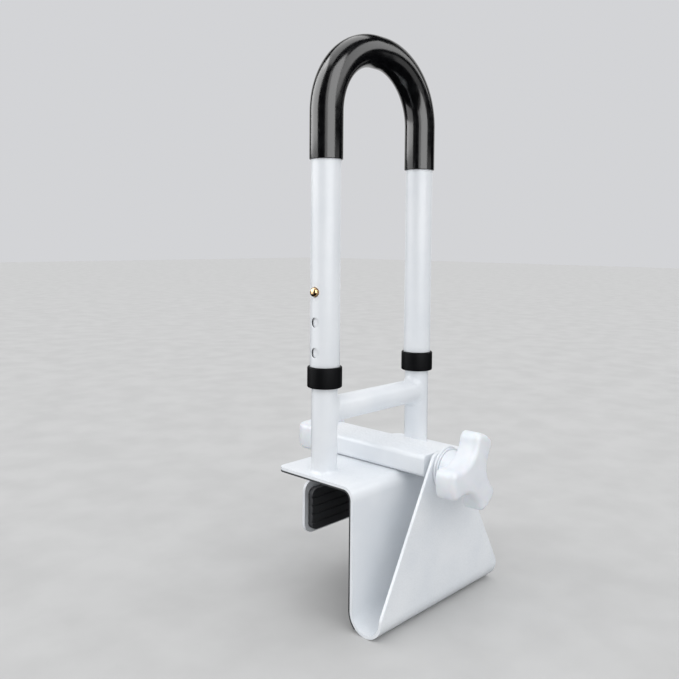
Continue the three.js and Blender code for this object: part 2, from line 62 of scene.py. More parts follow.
# %% Rounded outlines
def rounded_outline(corners, steps=6):
    """A closed outline from (x, y, radius) corners; a radius of 0 leaves the corner sharp."""
    outline = []
    for i, (x, y, radius) in enumerate(corners):
        here = Vector((x, y))
        if radius <= 0:
            outline.append(here)
            continue
        back = (Vector(corners[i - 1][:2]) - here).normalized()
        ahead = (Vector(corners[(i + 1) % len(corners)][:2]) - here).normalized()
        half = back.angle(ahead) / 2
        centre = here + (back + ahead).normalized() * (radius / math.sin(half))
        first = here + back * (radius / math.tan(half)) - centre
        last = here + ahead * (radius / math.tan(half)) - centre
        start = math.atan2(first.y, first.x)
        turn = math.remainder(math.atan2(last.y, last.x) - start, math.tau)
        for k in range(steps + 1):
            angle = start + turn * k / steps
            outline.append(centre + radius * Vector((math.cos(angle), math.sin(angle))))
    return outline


def rectangle(half_width, half_height, radius, steps=8):
    """The rounded section of a rectangular tube."""
    w, h = half_width, half_height
    return rounded_outline([(w, h, radius), (-w, h, radius), (-w, -h, radius), (w, -h, radius)],
                           steps)


def around(centre, radius, degrees):
    """A point on a circle."""
    return (centre[0] + radius * math.cos(math.radians(degrees)),
            centre[1] + radius * math.sin(math.radians(degrees)))


def quarter_round(radius, steps):
    """A rounded edge as pairs: how far each of its points stays short of the two faces."""
    quarter = [math.radians(90 * k / steps) for k in range(steps + 1)]
    return [(radius * (1 - math.cos(a)), radius * (1 - math.sin(a))) for a in quarter]


print("points around a rounded rectangle:", len(rectangle(21, 9.2, 4)))

# %% [markdown]
# ## Skins
#
# Nearly every piece here is a row of rings with a skin over them: a tube is rings along its line, a
# washer is its profile turned around an axis, a folded sheet is its section repeated along the
# fold. A ring skin keeps the faces four-sided and even, which makes highlights run smoothly.

# %% Skins over rings
def all_round(sides):
    """Even angles, once around."""
    return [math.tau * i / sides for i in range(sides)]


def skin(rings, closed=False):
    """Points and faces over rings of equal length; closed joins the last ring to the first."""
    count = len(rings[0])
    points = [tuple(p) for ring in rings for p in ring]
    faces = []
    for r in range(len(rings) if closed else len(rings) - 1):
        a, b = r * count, (r + 1) % len(rings) * count
        faces += [(a + i, a + (i + 1) % count, b + (i + 1) % count, b + i) for i in range(count)]
    if not closed:
        faces += [tuple(reversed(range(count))), tuple(range(len(points) - count, len(points)))]
    return points, faces


def turned(profile, sides=96):
    """A profile of (radius, height) turned around Z. It closes on itself, or ends on the axis."""
    turns = all_round(sides)
    return skin([[(r * math.cos(t), r * math.sin(t), h) for t in turns] for r, h in profile],
                closed=True)


def rod(radius, low, high, sides=48):
    """A solid round bar along Z, from one height to another."""
    return turned([(0, low), (radius, low), (radius, high), (0, high)], sides)


def placed(form, turn=Matrix.Identity(4), move=(0, 0, 0)):
    """The same form turned, then moved."""
    points, faces = form
    return [tuple(turn @ Vector(p) + Vector(move)) for p in points], faces


print("a 96-sided washer has", len(turned([(4, 0), (9, 0), (9, 1), (4, 1)])[1]), "faces")

# %% [markdown]
# ## From a skin to a piece
#
# A piece is a mesh with a finish that rides on one body of the mechanism and may stand for a plain
# solid. Repeated points are merged and all faces turned outwards, so that a boolean cut works.
# Modifiers are baked at once, so the mesh itself holds the finished shape.

# %% Make and cut a mesh
MM = 0.001


def make_mesh(name, form):
    """An object in the scene from a form in millimetres."""
    points, faces = form
    mesh = bpy.data.meshes.new(name)
    mesh.from_pydata([Vector(p) * MM for p in points], [], faces)
    shell = bmesh.new()
    shell.from_mesh(mesh)
    bmesh.ops.remove_doubles(shell, verts=shell.verts, dist=1e-7)
    bmesh.ops.recalc_face_normals(shell, faces=shell.faces)
    shell.to_mesh(mesh)
    shell.free()
    thing = bpy.data.objects.new(name, mesh)
    bpy.context.scene.collection.objects.link(thing)
    return thing


def bake(piece):
    """Applies the modifiers to the mesh."""
    graph = bpy.context.evaluated_depsgraph_get()
    baked = bpy.data.meshes.new_from_object(piece.evaluated_get(graph))
    piece.modifiers.clear()
    plain, piece.data = piece.data, baked
    bpy.data.meshes.remove(plain)
    baked.name = piece.name


def combine(piece, forms, operation):
    """Adds (UNION) or cuts away (DIFFERENCE) whole forms."""
    tools = [make_mesh("tool", form) for form in forms]
    for tool in tools:
        step = piece.modifiers.new(operation, "BOOLEAN")
        step.operation, step.solver, step.object = operation, "EXACT", tool
    bake(piece)
    for tool in tools:
        mesh = tool.data
        bpy.data.objects.remove(tool)
        bpy.data.meshes.remove(mesh)


print("one millimetre is", MM, "m")

# %% Round, smooth and dress a piece
def round_edges(piece, width, segments=3, above=40):
    """Rounds every edge sharper than an angle, as a tumbled or pressed edge is."""
    step = piece.modifiers.new("round", "BEVEL")
    step.width, step.segments = width * MM, segments
    step.limit_method, step.angle_limit = "ANGLE", math.radians(above)
    bake(piece)


def smooth(piece, sharp_above=38):
    """Smooth shading, except across edges sharper than this angle."""
    piece.data.shade_smooth()
    piece.data.set_sharp_from_angle(angle=math.radians(sharp_above))


def dress(piece, finish, body, stands_for):
    """The finish, the body that the piece rides on, and the solids that it stands for."""
    piece.data.materials.clear()
    piece.data.materials.append(finish)
    if body:
        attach(piece, body)
    if stands_for:
        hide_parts(*stands_for)
    print(f"{piece.name}: {len(piece.data.polygons)} faces, rides on {body or 'two bodies'}")


def make_piece(name, form, finish, body, stands_for=(), add=(), cut=(), edge=0, sharp_above=38):
    """A finished piece; edge is the radius, in millimetres, that its sharp edges get."""
    piece = make_mesh(name, form)
    if add:
        combine(piece, add, "UNION")
    if edge:
        round_edges(piece, edge)
    if cut:
        combine(piece, cut, "DIFFERENCE")
    smooth(piece, sharp_above)
    if edge:
        even = piece.modifiers.new("even", "WEIGHTED_NORMAL")
        even.keep_sharp = True
        bake(piece)
    dress(piece, finish, body, stands_for)
    return piece


print("steps of a piece: add, round, cut, smooth, dress")

# %% [markdown]
# ## Nodes and colours
#
# A finish is a small network of nodes around one shader. One function adds a node with its
# settings, its constants and its links. Colours are written as sRGB hex, as a paint chart gives
# them, and are turned to linear light by one function. Patterns use the object's own metres, so a
# scale of 1000 / 1.6 means one bump every 1.6 mm, whatever the piece.
#
# The values of a noise pattern crowd around its middle. So each finish takes the part from 0.35 to
# 0.65, spreads it from 0 to 1, and mixes its darker and its lighter colour by that share.

# %% Node helpers
def linear(hex_colour):
    """An sRGB hex colour as linear red, green, blue and alpha."""
    values = [int(hex_colour[i:i + 2], 16) / 255 for i in (1, 3, 5)]
    return [v / 12.92 if v <= 0.04045 else ((v + 0.055) / 1.055) ** 2.4 for v in values] + [1.0]


def add_node(finish, kind, values=None, links=None, **settings):
    """One node: the constants on its sockets, the sockets that feed it, and its settings."""
    node = finish.node_tree.nodes.new(kind)
    for name, value in settings.items():
        setattr(node, name, value)
    for socket, value in (values or {}).items():
        node.inputs[socket].default_value = value
    for socket, source in (links or {}).items():
        finish.node_tree.links.new(source, node.inputs[socket])
    return node


def new_finish(name, slot, values):
    """An empty finish: its shader with constant values, and the place on the object in metres."""
    finish = bpy.data.materials.new(name)
    finish.use_nodes = True
    finish.node_tree.nodes.clear()
    finish["slot"] = slot
    shader = add_node(finish, "ShaderNodeBsdfPrincipled", values)
    add_node(finish, "ShaderNodeOutputMaterial", links={"Surface": shader.outputs["BSDF"]})
    place = add_node(finish, "ShaderNodeTexCoord").outputs["Object"]
    return finish, shader, place


def feed(finish, shader, sources):
    """Links each source to the shader's socket of that name."""
    for socket, source in sources.items():
        finish.node_tree.links.new(source, shader.inputs[socket])


def per_mm(size):
    """The texture scale that repeats once in this many millimetres."""
    return 1000 / size


MIDDLE = {"From Min": 0.35, "From Max": 0.65}
# A Mix node has several sockets of the same name, so its colour sockets are called by number.
SHARE, DARK, LIGHT, MIXED = 0, 6, 7, 2
print("white paint in linear light:", [round(v, 3) for v in linear("#E9ECF0")])

# %% [markdown]
# ## Polyester powder coat on steel
#
# The frame's steel is sprayed with charged powder and baked at about 190 degrees, which leaves a
# cool white, half-glossy skin some 80 micrometres thick. To the eye it is even, with a faint orange
# peel: shallow waves 1 to 2 mm apart that soften every highlight. The peel is a noise bump of that
# size, the colour drifts by a hair over 40 mm, and the gloss varies where the powder lay thicker.

# %% Powder coat
powder_coat, shader, place = new_finish(
    "polyester_powder_coat_on_steel", "white_powder_coat",
    {"IOR": 1.5, "Metallic": 0.0, "Specular IOR Level": 0.25})
haze = add_node(powder_coat, "ShaderNodeTexNoise",
                {"Scale": per_mm(40), "Detail": 2.0}, {"Vector": place})
peel = add_node(powder_coat, "ShaderNodeTexNoise",
                {"Scale": per_mm(1.6), "Detail": 1.5, "Roughness": 0.4}, {"Vector": place})
grain = add_node(powder_coat, "ShaderNodeTexNoise",
                 {"Scale": per_mm(0.5), "Detail": 1.0}, {"Vector": place})
gloss = add_node(powder_coat, "ShaderNodeMapRange",
                 {"From Min": 0.3, "From Max": 0.7, "To Min": 0.24, "To Max": 0.32},
                 {"Value": grain.outputs["Fac"]})
bump = add_node(powder_coat, "ShaderNodeBump", {"Strength": 0.5, "Distance": 0.00002},
                {"Height": peel.outputs["Fac"]})
share = add_node(powder_coat, "ShaderNodeMapRange", MIDDLE, {"Value": haze.outputs["Fac"]})
colour = add_node(powder_coat, "ShaderNodeMix",
                  {DARK: linear("#E6EAEE"), LIGHT: linear("#EDF0F3")},
                  {SHARE: share.outputs["Result"]}, data_type="RGBA")
feed(powder_coat, shader, {"Base Color": colour.outputs[MIXED],
                           "Roughness": gloss.outputs["Result"], "Normal": bump.outputs["Normal"]})
print("powder coat: peel every 1.6 mm, gloss varies every 0.5 mm")

# %% [markdown]
# ## Dip-moulded vinyl on the grip
#
# The grip is soft PVC: the bent tube is heated, dipped in liquid plastisol and cured. Such a skin
# is black and glossy, so it mirrors the lamps as long streaks with soft sides, and it isn't quite
# true: it sagged a little as it cured, which makes the streaks waver. A broad noise of about 30 mm
# gives that, and a finer one changes the gloss slightly, as handling does.

# %% Vinyl
vinyl, shader, place = new_finish("dip_moulded_soft_pvc", "black_vinyl",
                                  {"IOR": 1.53, "Metallic": 0.0})
sag = add_node(vinyl, "ShaderNodeTexNoise",
               {"Scale": per_mm(30), "Detail": 1.0}, {"Vector": place})
handling = add_node(vinyl, "ShaderNodeTexNoise",
                    {"Scale": per_mm(6), "Detail": 4.0}, {"Vector": place})
gloss = add_node(vinyl, "ShaderNodeMapRange",
                 {"From Min": 0.35, "From Max": 0.7, "To Min": 0.15, "To Max": 0.2},
                 {"Value": handling.outputs["Fac"]})
bump = add_node(vinyl, "ShaderNodeBump", {"Strength": 0.4, "Distance": 0.0003},
                {"Height": sag.outputs["Fac"]})
share = add_node(vinyl, "ShaderNodeMapRange", MIDDLE, {"Value": handling.outputs["Fac"]})
colour = add_node(vinyl, "ShaderNodeMix", {DARK: linear("#08080A"), LIGHT: linear("#0D0E10")},
                  {SHARE: share.outputs["Result"]}, data_type="RGBA")
feed(vinyl, shader, {"Base Color": colour.outputs[MIXED],
                     "Roughness": gloss.outputs["Result"], "Normal": bump.outputs["Normal"]})
print("vinyl: sags over 30 mm, roughness 0.15 to 0.2")

# %% [markdown]
# ## Moulded black plastic for the collars
#
# The collars are injection-moulded polypropylene. The mould's steel was spark eroded, which prints
# a fine satin grain on the plastic. The real grain is about 0.1 mm, too fine for this picture, so
# it is drawn at 0.4 mm and shallow; it breaks the highlight into a soft sheen.

# %% Collar plastic
collar_plastic, shader, place = new_finish(
    "moulded_polypropylene", "black_plastic",
    {"IOR": 1.49, "Metallic": 0.0, "Specular IOR Level": 0.05})
spark = add_node(collar_plastic, "ShaderNodeTexNoise",
                 {"Scale": per_mm(0.4), "Detail": 2.0}, {"Vector": place})
gloss = add_node(collar_plastic, "ShaderNodeMapRange",
                 {"From Min": 0.3, "From Max": 0.7, "To Min": 0.36, "To Max": 0.48},
                 {"Value": spark.outputs["Fac"]})
bump = add_node(collar_plastic, "ShaderNodeBump", {"Strength": 0.4, "Distance": 0.00003},
                {"Height": spark.outputs["Fac"]})
share = add_node(collar_plastic, "ShaderNodeMapRange", MIDDLE, {"Value": spark.outputs["Fac"]})
colour = add_node(collar_plastic, "ShaderNodeMix",
                  {DARK: linear("#0A0A0C"), LIGHT: linear("#101113")},
                  {SHARE: share.outputs["Result"]}, data_type="RGBA")
feed(collar_plastic, shader, {"Base Color": colour.outputs[MIXED],
                              "Roughness": gloss.outputs["Result"],
                              "Normal": bump.outputs["Normal"]})
print("collar plastic: satin grain drawn at 0.4 mm")

# %% [markdown]
# ## Rubber for the liner and the jaw's pad
#
# The liner is a thin sheet of closed-cell foam rubber glued to the bracket, and the pad is moulded
# solid rubber. Both are dark grey and matt. The foam's skin shows pits under 1 mm across, which a
# cell pattern draws; the moulded pad has only a fine dusty grain.

# %% Foam rubber
foam, shader, place = new_finish("closed_cell_foam_rubber", "grey_rubber",
                                 {"IOR": 1.5, "Metallic": 0.0})
cells = add_node(foam, "ShaderNodeTexVoronoi", {"Scale": per_mm(0.9)}, {"Vector": place})
cloud = add_node(foam, "ShaderNodeTexNoise",
                 {"Scale": per_mm(12), "Detail": 3.0}, {"Vector": place})
gloss = add_node(foam, "ShaderNodeMapRange", {"To Min": 0.82, "To Max": 0.95},
                 {"Value": cloud.outputs["Fac"]})
bump = add_node(foam, "ShaderNodeBump", {"Strength": 0.5, "Distance": 0.00015},
                {"Height": cells.outputs["Distance"]})
share = add_node(foam, "ShaderNodeMapRange", MIDDLE, {"Value": cloud.outputs["Fac"]})
colour = add_node(foam, "ShaderNodeMix", {DARK: linear("#26282B"), LIGHT: linear("#33363A")},
                  {SHARE: share.outputs["Result"]}, data_type="RGBA")
feed(foam, shader, {"Base Color": colour.outputs[MIXED],
                    "Roughness": gloss.outputs["Result"], "Normal": bump.outputs["Normal"]})
print("foam: cells 0.9 mm across")

# %% Moulded rubber
rubber, shader, place = new_finish("moulded_rubber", "grey_rubber",
                                   {"IOR": 1.52, "Metallic": 0.0})
dust = add_node(rubber, "ShaderNodeTexNoise",
                {"Scale": per_mm(0.6), "Detail": 3.0}, {"Vector": place})
gloss = add_node(rubber, "ShaderNodeMapRange", {"To Min": 0.6, "To Max": 0.8},
                 {"Value": dust.outputs["Fac"]})
bump = add_node(rubber, "ShaderNodeBump", {"Strength": 0.4, "Distance": 0.00005},
                {"Height": dust.outputs["Fac"]})
share = add_node(rubber, "ShaderNodeMapRange", MIDDLE, {"Value": dust.outputs["Fac"]})
colour = add_node(rubber, "ShaderNodeMix", {DARK: linear("#2C2E31"), LIGHT: linear("#37393D")},
                  {SHARE: share.outputs["Result"]}, data_type="RGBA")
feed(rubber, shader, {"Base Color": colour.outputs[MIXED],
                      "Roughness": gloss.outputs["Result"], "Normal": bump.outputs["Normal"]})
print("rubber: grain every 0.6 mm")

# %% [markdown]
# ## Brass, spring steel and zinc plate
#
# The snap buttons are turned brass, polished until they mirror, with a touch of warm tarnish in
# patches of a few millimetres. The springs and the push-on ring are cold-rolled steel strip, whose
# grain runs along the strip; it is drawn at 0.4 mm, coarser than the real one. The bolt is steel
# with a thin bright zinc plate, faintly bluish and yellowish in clouds about 4 mm wide. Metals keep
# the shader's default IOR: the base colour is their mirror tint.

# %% Brass
brass, shader, place = new_finish("turned_polished_brass", "brass", {"Metallic": 1.0})
tarnish = add_node(brass, "ShaderNodeTexNoise",
                   {"Scale": per_mm(3), "Detail": 3.0}, {"Vector": place})
gloss = add_node(brass, "ShaderNodeMapRange",
                 {"From Min": 0.35, "From Max": 0.7, "To Min": 0.14, "To Max": 0.28},
                 {"Value": tarnish.outputs["Fac"]})
share = add_node(brass, "ShaderNodeMapRange", MIDDLE, {"Value": tarnish.outputs["Fac"]})
colour = add_node(brass, "ShaderNodeMix", {DARK: linear("#AE8B63"), LIGHT: linear("#D4B68E")},
                  {SHARE: share.outputs["Result"]}, data_type="RGBA")
feed(brass, shader, {"Base Color": colour.outputs[MIXED], "Roughness": gloss.outputs["Result"]})
print("brass: tarnish in patches of 3 mm")

# %% Spring steel
spring_steel, shader, place = new_finish("cold_rolled_spring_steel", "spring_steel",
                                         {"Metallic": 1.0})
stretch = add_node(spring_steel, "ShaderNodeMapping", {"Scale": (1.0, 1.0, 0.05)},
                   {"Vector": place})
rolled = add_node(spring_steel, "ShaderNodeTexNoise",
                  {"Scale": per_mm(0.4), "Detail": 3.0}, {"Vector": stretch.outputs["Vector"]})
gloss = add_node(spring_steel, "ShaderNodeMapRange", {"To Min": 0.25, "To Max": 0.42},
                 {"Value": rolled.outputs["Fac"]})
share = add_node(spring_steel, "ShaderNodeMapRange", MIDDLE, {"Value": rolled.outputs["Fac"]})
colour = add_node(spring_steel, "ShaderNodeMix",
                  {DARK: linear("#83878C"), LIGHT: linear("#9BA0A5")},
                  {SHARE: share.outputs["Result"]}, data_type="RGBA")
feed(spring_steel, shader, {"Base Color": colour.outputs[MIXED],
                            "Roughness": gloss.outputs["Result"]})
print("spring steel: grain 0.4 mm wide and 20 times as long")

# %% Zinc plate
zinc, shader, place = new_finish("bright_zinc_plated_steel", "zinc_steel", {"Metallic": 1.0})
clouds = add_node(zinc, "ShaderNodeTexNoise",
                  {"Scale": per_mm(4), "Detail": 2.0}, {"Vector": place})
gloss = add_node(zinc, "ShaderNodeMapRange", {"To Min": 0.22, "To Max": 0.36},
                 {"Value": clouds.outputs["Fac"]})
share = add_node(zinc, "ShaderNodeMapRange", MIDDLE, {"Value": clouds.outputs["Fac"]})
colour = add_node(zinc, "ShaderNodeMix", {DARK: linear("#BCC3CA"), LIGHT: linear("#CFD0CE")},
                  {SHARE: share.outputs["Result"]}, data_type="RGBA")
feed(zinc, shader, {"Base Color": colour.outputs[MIXED], "Roughness": gloss.outputs["Result"]})
print("zinc: clouds of 4 mm")

# %% [markdown]
# ## Moulded white nylon
#
# The knob, the bar's end cap and the slip washer are injection-moulded nylon, whitened with
# pigment. Nylon is satin and a little milky: light goes in about a millimetre before it comes back,
# which a small amount of subsurface light gives. The mould's texture is drawn at 0.5 mm, coarser
# than the real 0.15 mm, so that it shows at all.

# %% Nylon
nylon, shader, place = new_finish(
    "moulded_white_nylon", "white_nylon",
    {"IOR": 1.53, "Metallic": 0.0, "Specular IOR Level": 0.3, "Subsurface Weight": 0.15,
     "Subsurface Scale": 0.001})
texture = add_node(nylon, "ShaderNodeTexNoise",
                   {"Scale": per_mm(0.5), "Detail": 2.0}, {"Vector": place})
flow = add_node(nylon, "ShaderNodeTexNoise",
                {"Scale": per_mm(18), "Detail": 2.0}, {"Vector": place})
gloss = add_node(nylon, "ShaderNodeMapRange",
                 {"From Min": 0.3, "From Max": 0.7, "To Min": 0.42, "To Max": 0.52},
                 {"Value": texture.outputs["Fac"]})
bump = add_node(nylon, "ShaderNodeBump", {"Strength": 0.35, "Distance": 0.00002},
                {"Height": texture.outputs["Fac"]})
share = add_node(nylon, "ShaderNodeMapRange", MIDDLE, {"Value": flow.outputs["Fac"]})
colour = add_node(nylon, "ShaderNodeMix", {DARK: linear("#E3E7EC"), LIGHT: linear("#EAEDF1")},
                  {SHARE: share.outputs["Result"]}, data_type="RGBA")
feed(nylon, shader, {"Base Color": colour.outputs[MIXED],
                     "Roughness": gloss.outputs["Result"], "Normal": bump.outputs["Normal"]})
print("nylon: light goes in about 1 mm")

# %% [markdown]
# ## The folded bracket
#
# One sheet of 2.5 mm steel is cut flat and folded on a press brake: the top plate, a bend down to
# the outer leg, a U fold and the tongue that comes back up, tapered like a shield. A folded sheet
# is its section repeated along the fold, so the piece is a skin over small rectangles, each with
# the sheet's two faces and the half width that the blank has at that place. The near face starts as
# the underside of the plate and runs on round the outside of the fold.

# %% The blank's widths
SHEET, SHEET_EDGE = 2.5, 0.7  # the steel's thickness, and the radius of its edges
HALF_WIDTH = 82.0
UNDER, PLATE_END, PLATE_CORNER = 1.5, 38.0, 7.0  # the plate's underside, inner end and corners
LEG_Y, RIM_RADIUS = -47.5, 8.0  # the leg's near face, and the bend that leads down to it
FOLD_Y, FOLD_Z, FOLD_RADIUS = -63.9, -94.9, 16.4  # the U fold's axis and outer radius
TONGUE_TOP, TIP_HALF_WIDTH, TIP_ROUND = 24.5, 15.5, 8.0
SIDE_SLOPE, FOOT_ROUND = 0.565, 10.0  # how far the tongue's side leans in for each millimetre up
BOLT_Z = 9.9
FAR_BELOW = -200.0  # the outline's closing corners, which are dropped again


def plate_half_width(y):
    """Half width of the top plate, its inner corners rounded."""
    past = y - (PLATE_END - PLATE_CORNER)
    if past <= 0:
        return HALF_WIDTH
    return HALF_WIDTH - PLATE_CORNER + math.sqrt(max(0.0, PLATE_CORNER ** 2 - past ** 2))


side_foot = TONGUE_TOP - (HALF_WIDTH - TIP_HALF_WIDTH) / SIDE_SLOPE
tongue_outline = rounded_outline([
    (0, FAR_BELOW, 0), (HALF_WIDTH, FAR_BELOW, 0), (HALF_WIDTH, side_foot, FOOT_ROUND),
    (TIP_HALF_WIDTH, TONGUE_TOP, TIP_ROUND), (0, TONGUE_TOP, 0)], 12)
tongue_side = [p for p in tongue_outline if p.x > 0 and p.y > FAR_BELOW]


def tongue_half_width(z):
    """Half width of the tongue at a height."""
    if z <= tongue_side[0].y:
        return HALF_WIDTH
    for low, high in zip(tongue_side, tongue_side[1:]):
        if low.y <= z <= high.y:
            return low.x + (high.x - low.x) * (z - low.y) / max(1e-9, high.y - low.y)
    return tongue_side[-1].x


print("the tongue starts to taper at", round(side_foot, 1), "mm")

# %% Sections along the fold
def strip_section(near, far, half_width):
    """The sheet's section at one place: near and far faces as (y, z), and a half width."""
    return [(-half_width, *near), (half_width, *near), (half_width, *far), (-half_width, *far)]


def bracket_sections(near, far, end):
    """Sections from the plate's inner end to the leg, for two faces off the sheet's near face."""
    rows = []
    for back, _ in quarter_round(end - (PLATE_END - PLATE_CORNER), 10):
        y = end - back
        rows.append(strip_section((y, UNDER + near), (y, UNDER + far), plate_half_width(y)))
    bend = (LEG_Y + RIM_RADIUS, UNDER - RIM_RADIUS)
    for k in range(17):
        turn = 90 + 90 * k / 16
        rows.append(strip_section(around(bend, RIM_RADIUS + near, turn),
                                  around(bend, RIM_RADIUS + far, turn), HALF_WIDTH))
    return rows


fold = (FOLD_Y, FOLD_Z)
bracket_rows = bracket_sections(0, SHEET, PLATE_END)
for k in range(33):
    near = around(fold, FOLD_RADIUS, -180 * k / 32)
    far = around(fold, FOLD_RADIUS - SHEET, -180 * k / 32)
    outer_side = near[0] < FOLD_Y
    width = tongue_half_width((near[1] + far[1]) / 2) if outer_side else HALF_WIDTH
    bracket_rows.append(strip_section(near, far, width))
for p in tongue_side:
    if p.y > FOLD_Z:
        bracket_rows.append(strip_section(
            (FOLD_Y - FOLD_RADIUS, p.y), (FOLD_Y - FOLD_RADIUS + SHEET, p.y), p.x))
print("sections along the bracket:", len(bracket_rows))

# %% [markdown]
# The sheared edges are tumbled and coated, so they end up with a radius of about 0.7 mm: that thin
# bright line along the tongue's side is one of the things that make it read as sheet metal. The
# bolt's hole is cut last. The liner under the plate is made the same way, from its own two faces,
# and follows the fold for 50 degrees.

# %% Bracket and liner
Z_TO_Y = Matrix.Rotation(math.radians(-90), 4, "X")
HOLE_RADIUS, HOLE_CUT = 4.4, (-90, -70)  # the cutter's reach along the bolt
LINER_NEAR, LINER_FAR, LINER_END, LINER_WRAP, LINER_EDGE = -1.5, -0.1, 37.0, 50, 0.3


def on_bolt(form, y=0.0):
    """A turned form laid along the bolt's axis."""
    return placed(form, Z_TO_Y, (0, y, BOLT_Z))


make_piece("folded_bracket", skin(bracket_rows), powder_coat, "frame", ["base_bracket"],
           cut=[on_bolt(rod(HOLE_RADIUS, *HOLE_CUT))], edge=SHEET_EDGE)

liner_rows = bracket_sections(LINER_NEAR, LINER_FAR, LINER_END)
for k in range(11):
    turn = -LINER_WRAP * k / 10
    liner_rows.append(strip_section(around(fold, FOLD_RADIUS - LINER_NEAR, turn),
                                    around(fold, FOLD_RADIUS - LINER_FAR, turn), HALF_WIDTH))
make_piece("foam_liner", skin(liner_rows), foam, "frame", ["rim_liner"], edge=LINER_EDGE)

# %% [markdown]
# ## Tubes
#
# Posts and handle are welded steel tube, sawn to length and deburred. A tube is a closed skin: out
# along the outer wall, over the rounded lip, back along the bore, and over the other lip. The same
# function makes a straight post and the bent handle, because it only asks for places along a line.

# %% Tube along a line of places
def pipe(places, outer, inner, lip=0.4, sides=96):
    """A hollow tube along places of (centre, normal, forward), with rounded lips."""
    turns = all_round(sides)

    def ring(place, radius, along=0.0):
        centre, normal, forward = place
        side = forward.cross(normal)
        return [centre + forward * along + radius * (normal * math.cos(t) + side * math.sin(t))
                for t in turns]

    first, last, middle, lips = places[0], places[-1], places[1:-1], quarter_round(lip, 4)
    rings = [ring(first, inner + c, s) for c, s in lips]
    rings += [ring(first, outer - s, c) for c, s in lips]
    rings += [ring(place, outer) for place in middle]
    rings += [ring(last, outer - c, -s) for c, s in lips]
    rings += [ring(last, inner + s, -c) for c, s in lips]
    rings += [ring(place, inner) for place in reversed(middle)]
    return skin(rings, closed=True)


def straight(x, low, high, count=4):
    """Places up a post."""
    heights = [low + (high - low) * k / (count - 1) for k in range(count)]
    return [(Vector((x, 0, z)), Vector((1, 0, 0)), Vector((0, 0, 1))) for z in heights]


print("rings of a short pipe:", len(pipe(straight(0, 0, 10), 5, 4)[0]) // 96)

# %% The handle's line
LEG_X, ARCH_Z, ARCH_FLAT, ARCH_RADIUS = 63.5, 305.8, 7.0, 60.0
HANDLE_RADIUS, HANDLE_BORE, HANDLE_FOOT = 12.7, 11.5, 78.75
POST_RADIUS, POST_BORE, POST_FOOT, POST_TOP = 11.1, 9.6, 4.0, 200.0


def handle_line(end_z, steps=48):
    """Places along the inverted U, from the foot of the left leg to the foot of the right one."""
    places = [(Vector((-LEG_X, 0, end_z)), Vector((-1, 0, 0)), Vector((0, 0, 1)))]
    for side in (-1, 1):
        for k in range(steps + 1):
            turn = math.radians(90 * (k if side < 0 else steps - k) / steps)
            centre = Vector((side * (ARCH_FLAT / 2 + ARCH_RADIUS * math.cos(turn)), 0,
                             ARCH_Z + ARCH_RADIUS * math.sin(turn)))
            normal = Vector((side * math.cos(turn), 0, math.sin(turn)))
            places.append((centre, normal, Vector((normal.z, 0, -normal.x))))
    places.append((Vector((LEG_X, 0, end_z)), Vector((1, 0, 0)), Vector((0, 0, -1))))
    return places


print("places along the handle:", len(handle_line(HANDLE_FOOT)))

# %% [markdown]
# ## Height holes
#
# The holes are punched through the outer wall only, every 25.4 mm, and coating rounds their rims. A
# cutter shaped like the finished hole does both at once: a straight pin that flares where it leaves
# the tube, the flare following the tube's curve so that the rim is even all the way round.

# %% A cutter with a flared rim
FLARE_TURN = 80  # degrees, as a quarter circle that stops a little short
MOUTH_SHARE, OVERRUN = 1.6, 4.0  # the mouth's widening in flares; how far the pin sticks out


def hole_cutter(side, z, tube_radius, radius=4.1, flare=0.5, sides=48):
    """A pin along X that leaves the tube's outer face through a rounded rim."""
    mouth, outside = radius + flare * MOUTH_SHARE, tube_radius + OVERRUN
    turns = all_round(sides)

    def ring(r, lift, flat=None):
        row = []
        for t in turns:
            across, up = r * math.cos(t), r * math.sin(t)
            reach = flat if flat is not None else math.sqrt(tube_radius ** 2 - across ** 2) + lift
            row.append((side * (LEG_X + reach), across, z + up))
        return row

    rings = [ring(radius, 0, tube_radius / 2)]
    for k in range(7):
        a = math.radians(FLARE_TURN * k / 6)
        rings.append(ring(radius + flare * (1 - math.cos(a)), -flare * (1 - math.sin(a))))
    return skin(rings + [ring(mouth, flare), ring(mouth, 0, outside)])


HOLE_TOP, HOLE_PITCH, POST_HOLE_FLARE = 156.5, 25.4, 0.2
HOLES = [HOLE_TOP - HOLE_PITCH * i for i in range(3)]
SIDES = ((-1, "left"), (1, "right"))
handle = make_piece("bent_handle_tube",
                    pipe(handle_line(HANDLE_FOOT), HANDLE_RADIUS, HANDLE_BORE), powder_coat,
                    "handle", ["handle_tube"],
                    cut=[hole_cutter(side, z, HANDLE_RADIUS) for side, _ in SIDES for z in HOLES])
for side, word in SIDES:
    make_piece(f"lower_post_{word}",
               pipe(straight(side * LEG_X, POST_FOOT, POST_TOP), POST_RADIUS, POST_BORE),
               powder_coat, "frame", [f"post_{word}"],
               cut=[hole_cutter(side, HOLE_TOP, POST_RADIUS, flare=POST_HOLE_FLARE)])

# %% [markdown]
# Powder reaches neither the bore nor the wall of a punched hole, so both stay bare steel, dulled by
# the oven in patches of 2 mm. Its dark grey is partly that bare steel and partly painted shade: it
# stands for the shade deep in each hole, which seen through the holes is a dark crescent beside the
# white post. Faces nearer to the leg's axis than the outer wall get that second finish.

# %% Bare steel and painted shade in the handle's bore
BARE_AND_SHADED_WITHIN = 12.3

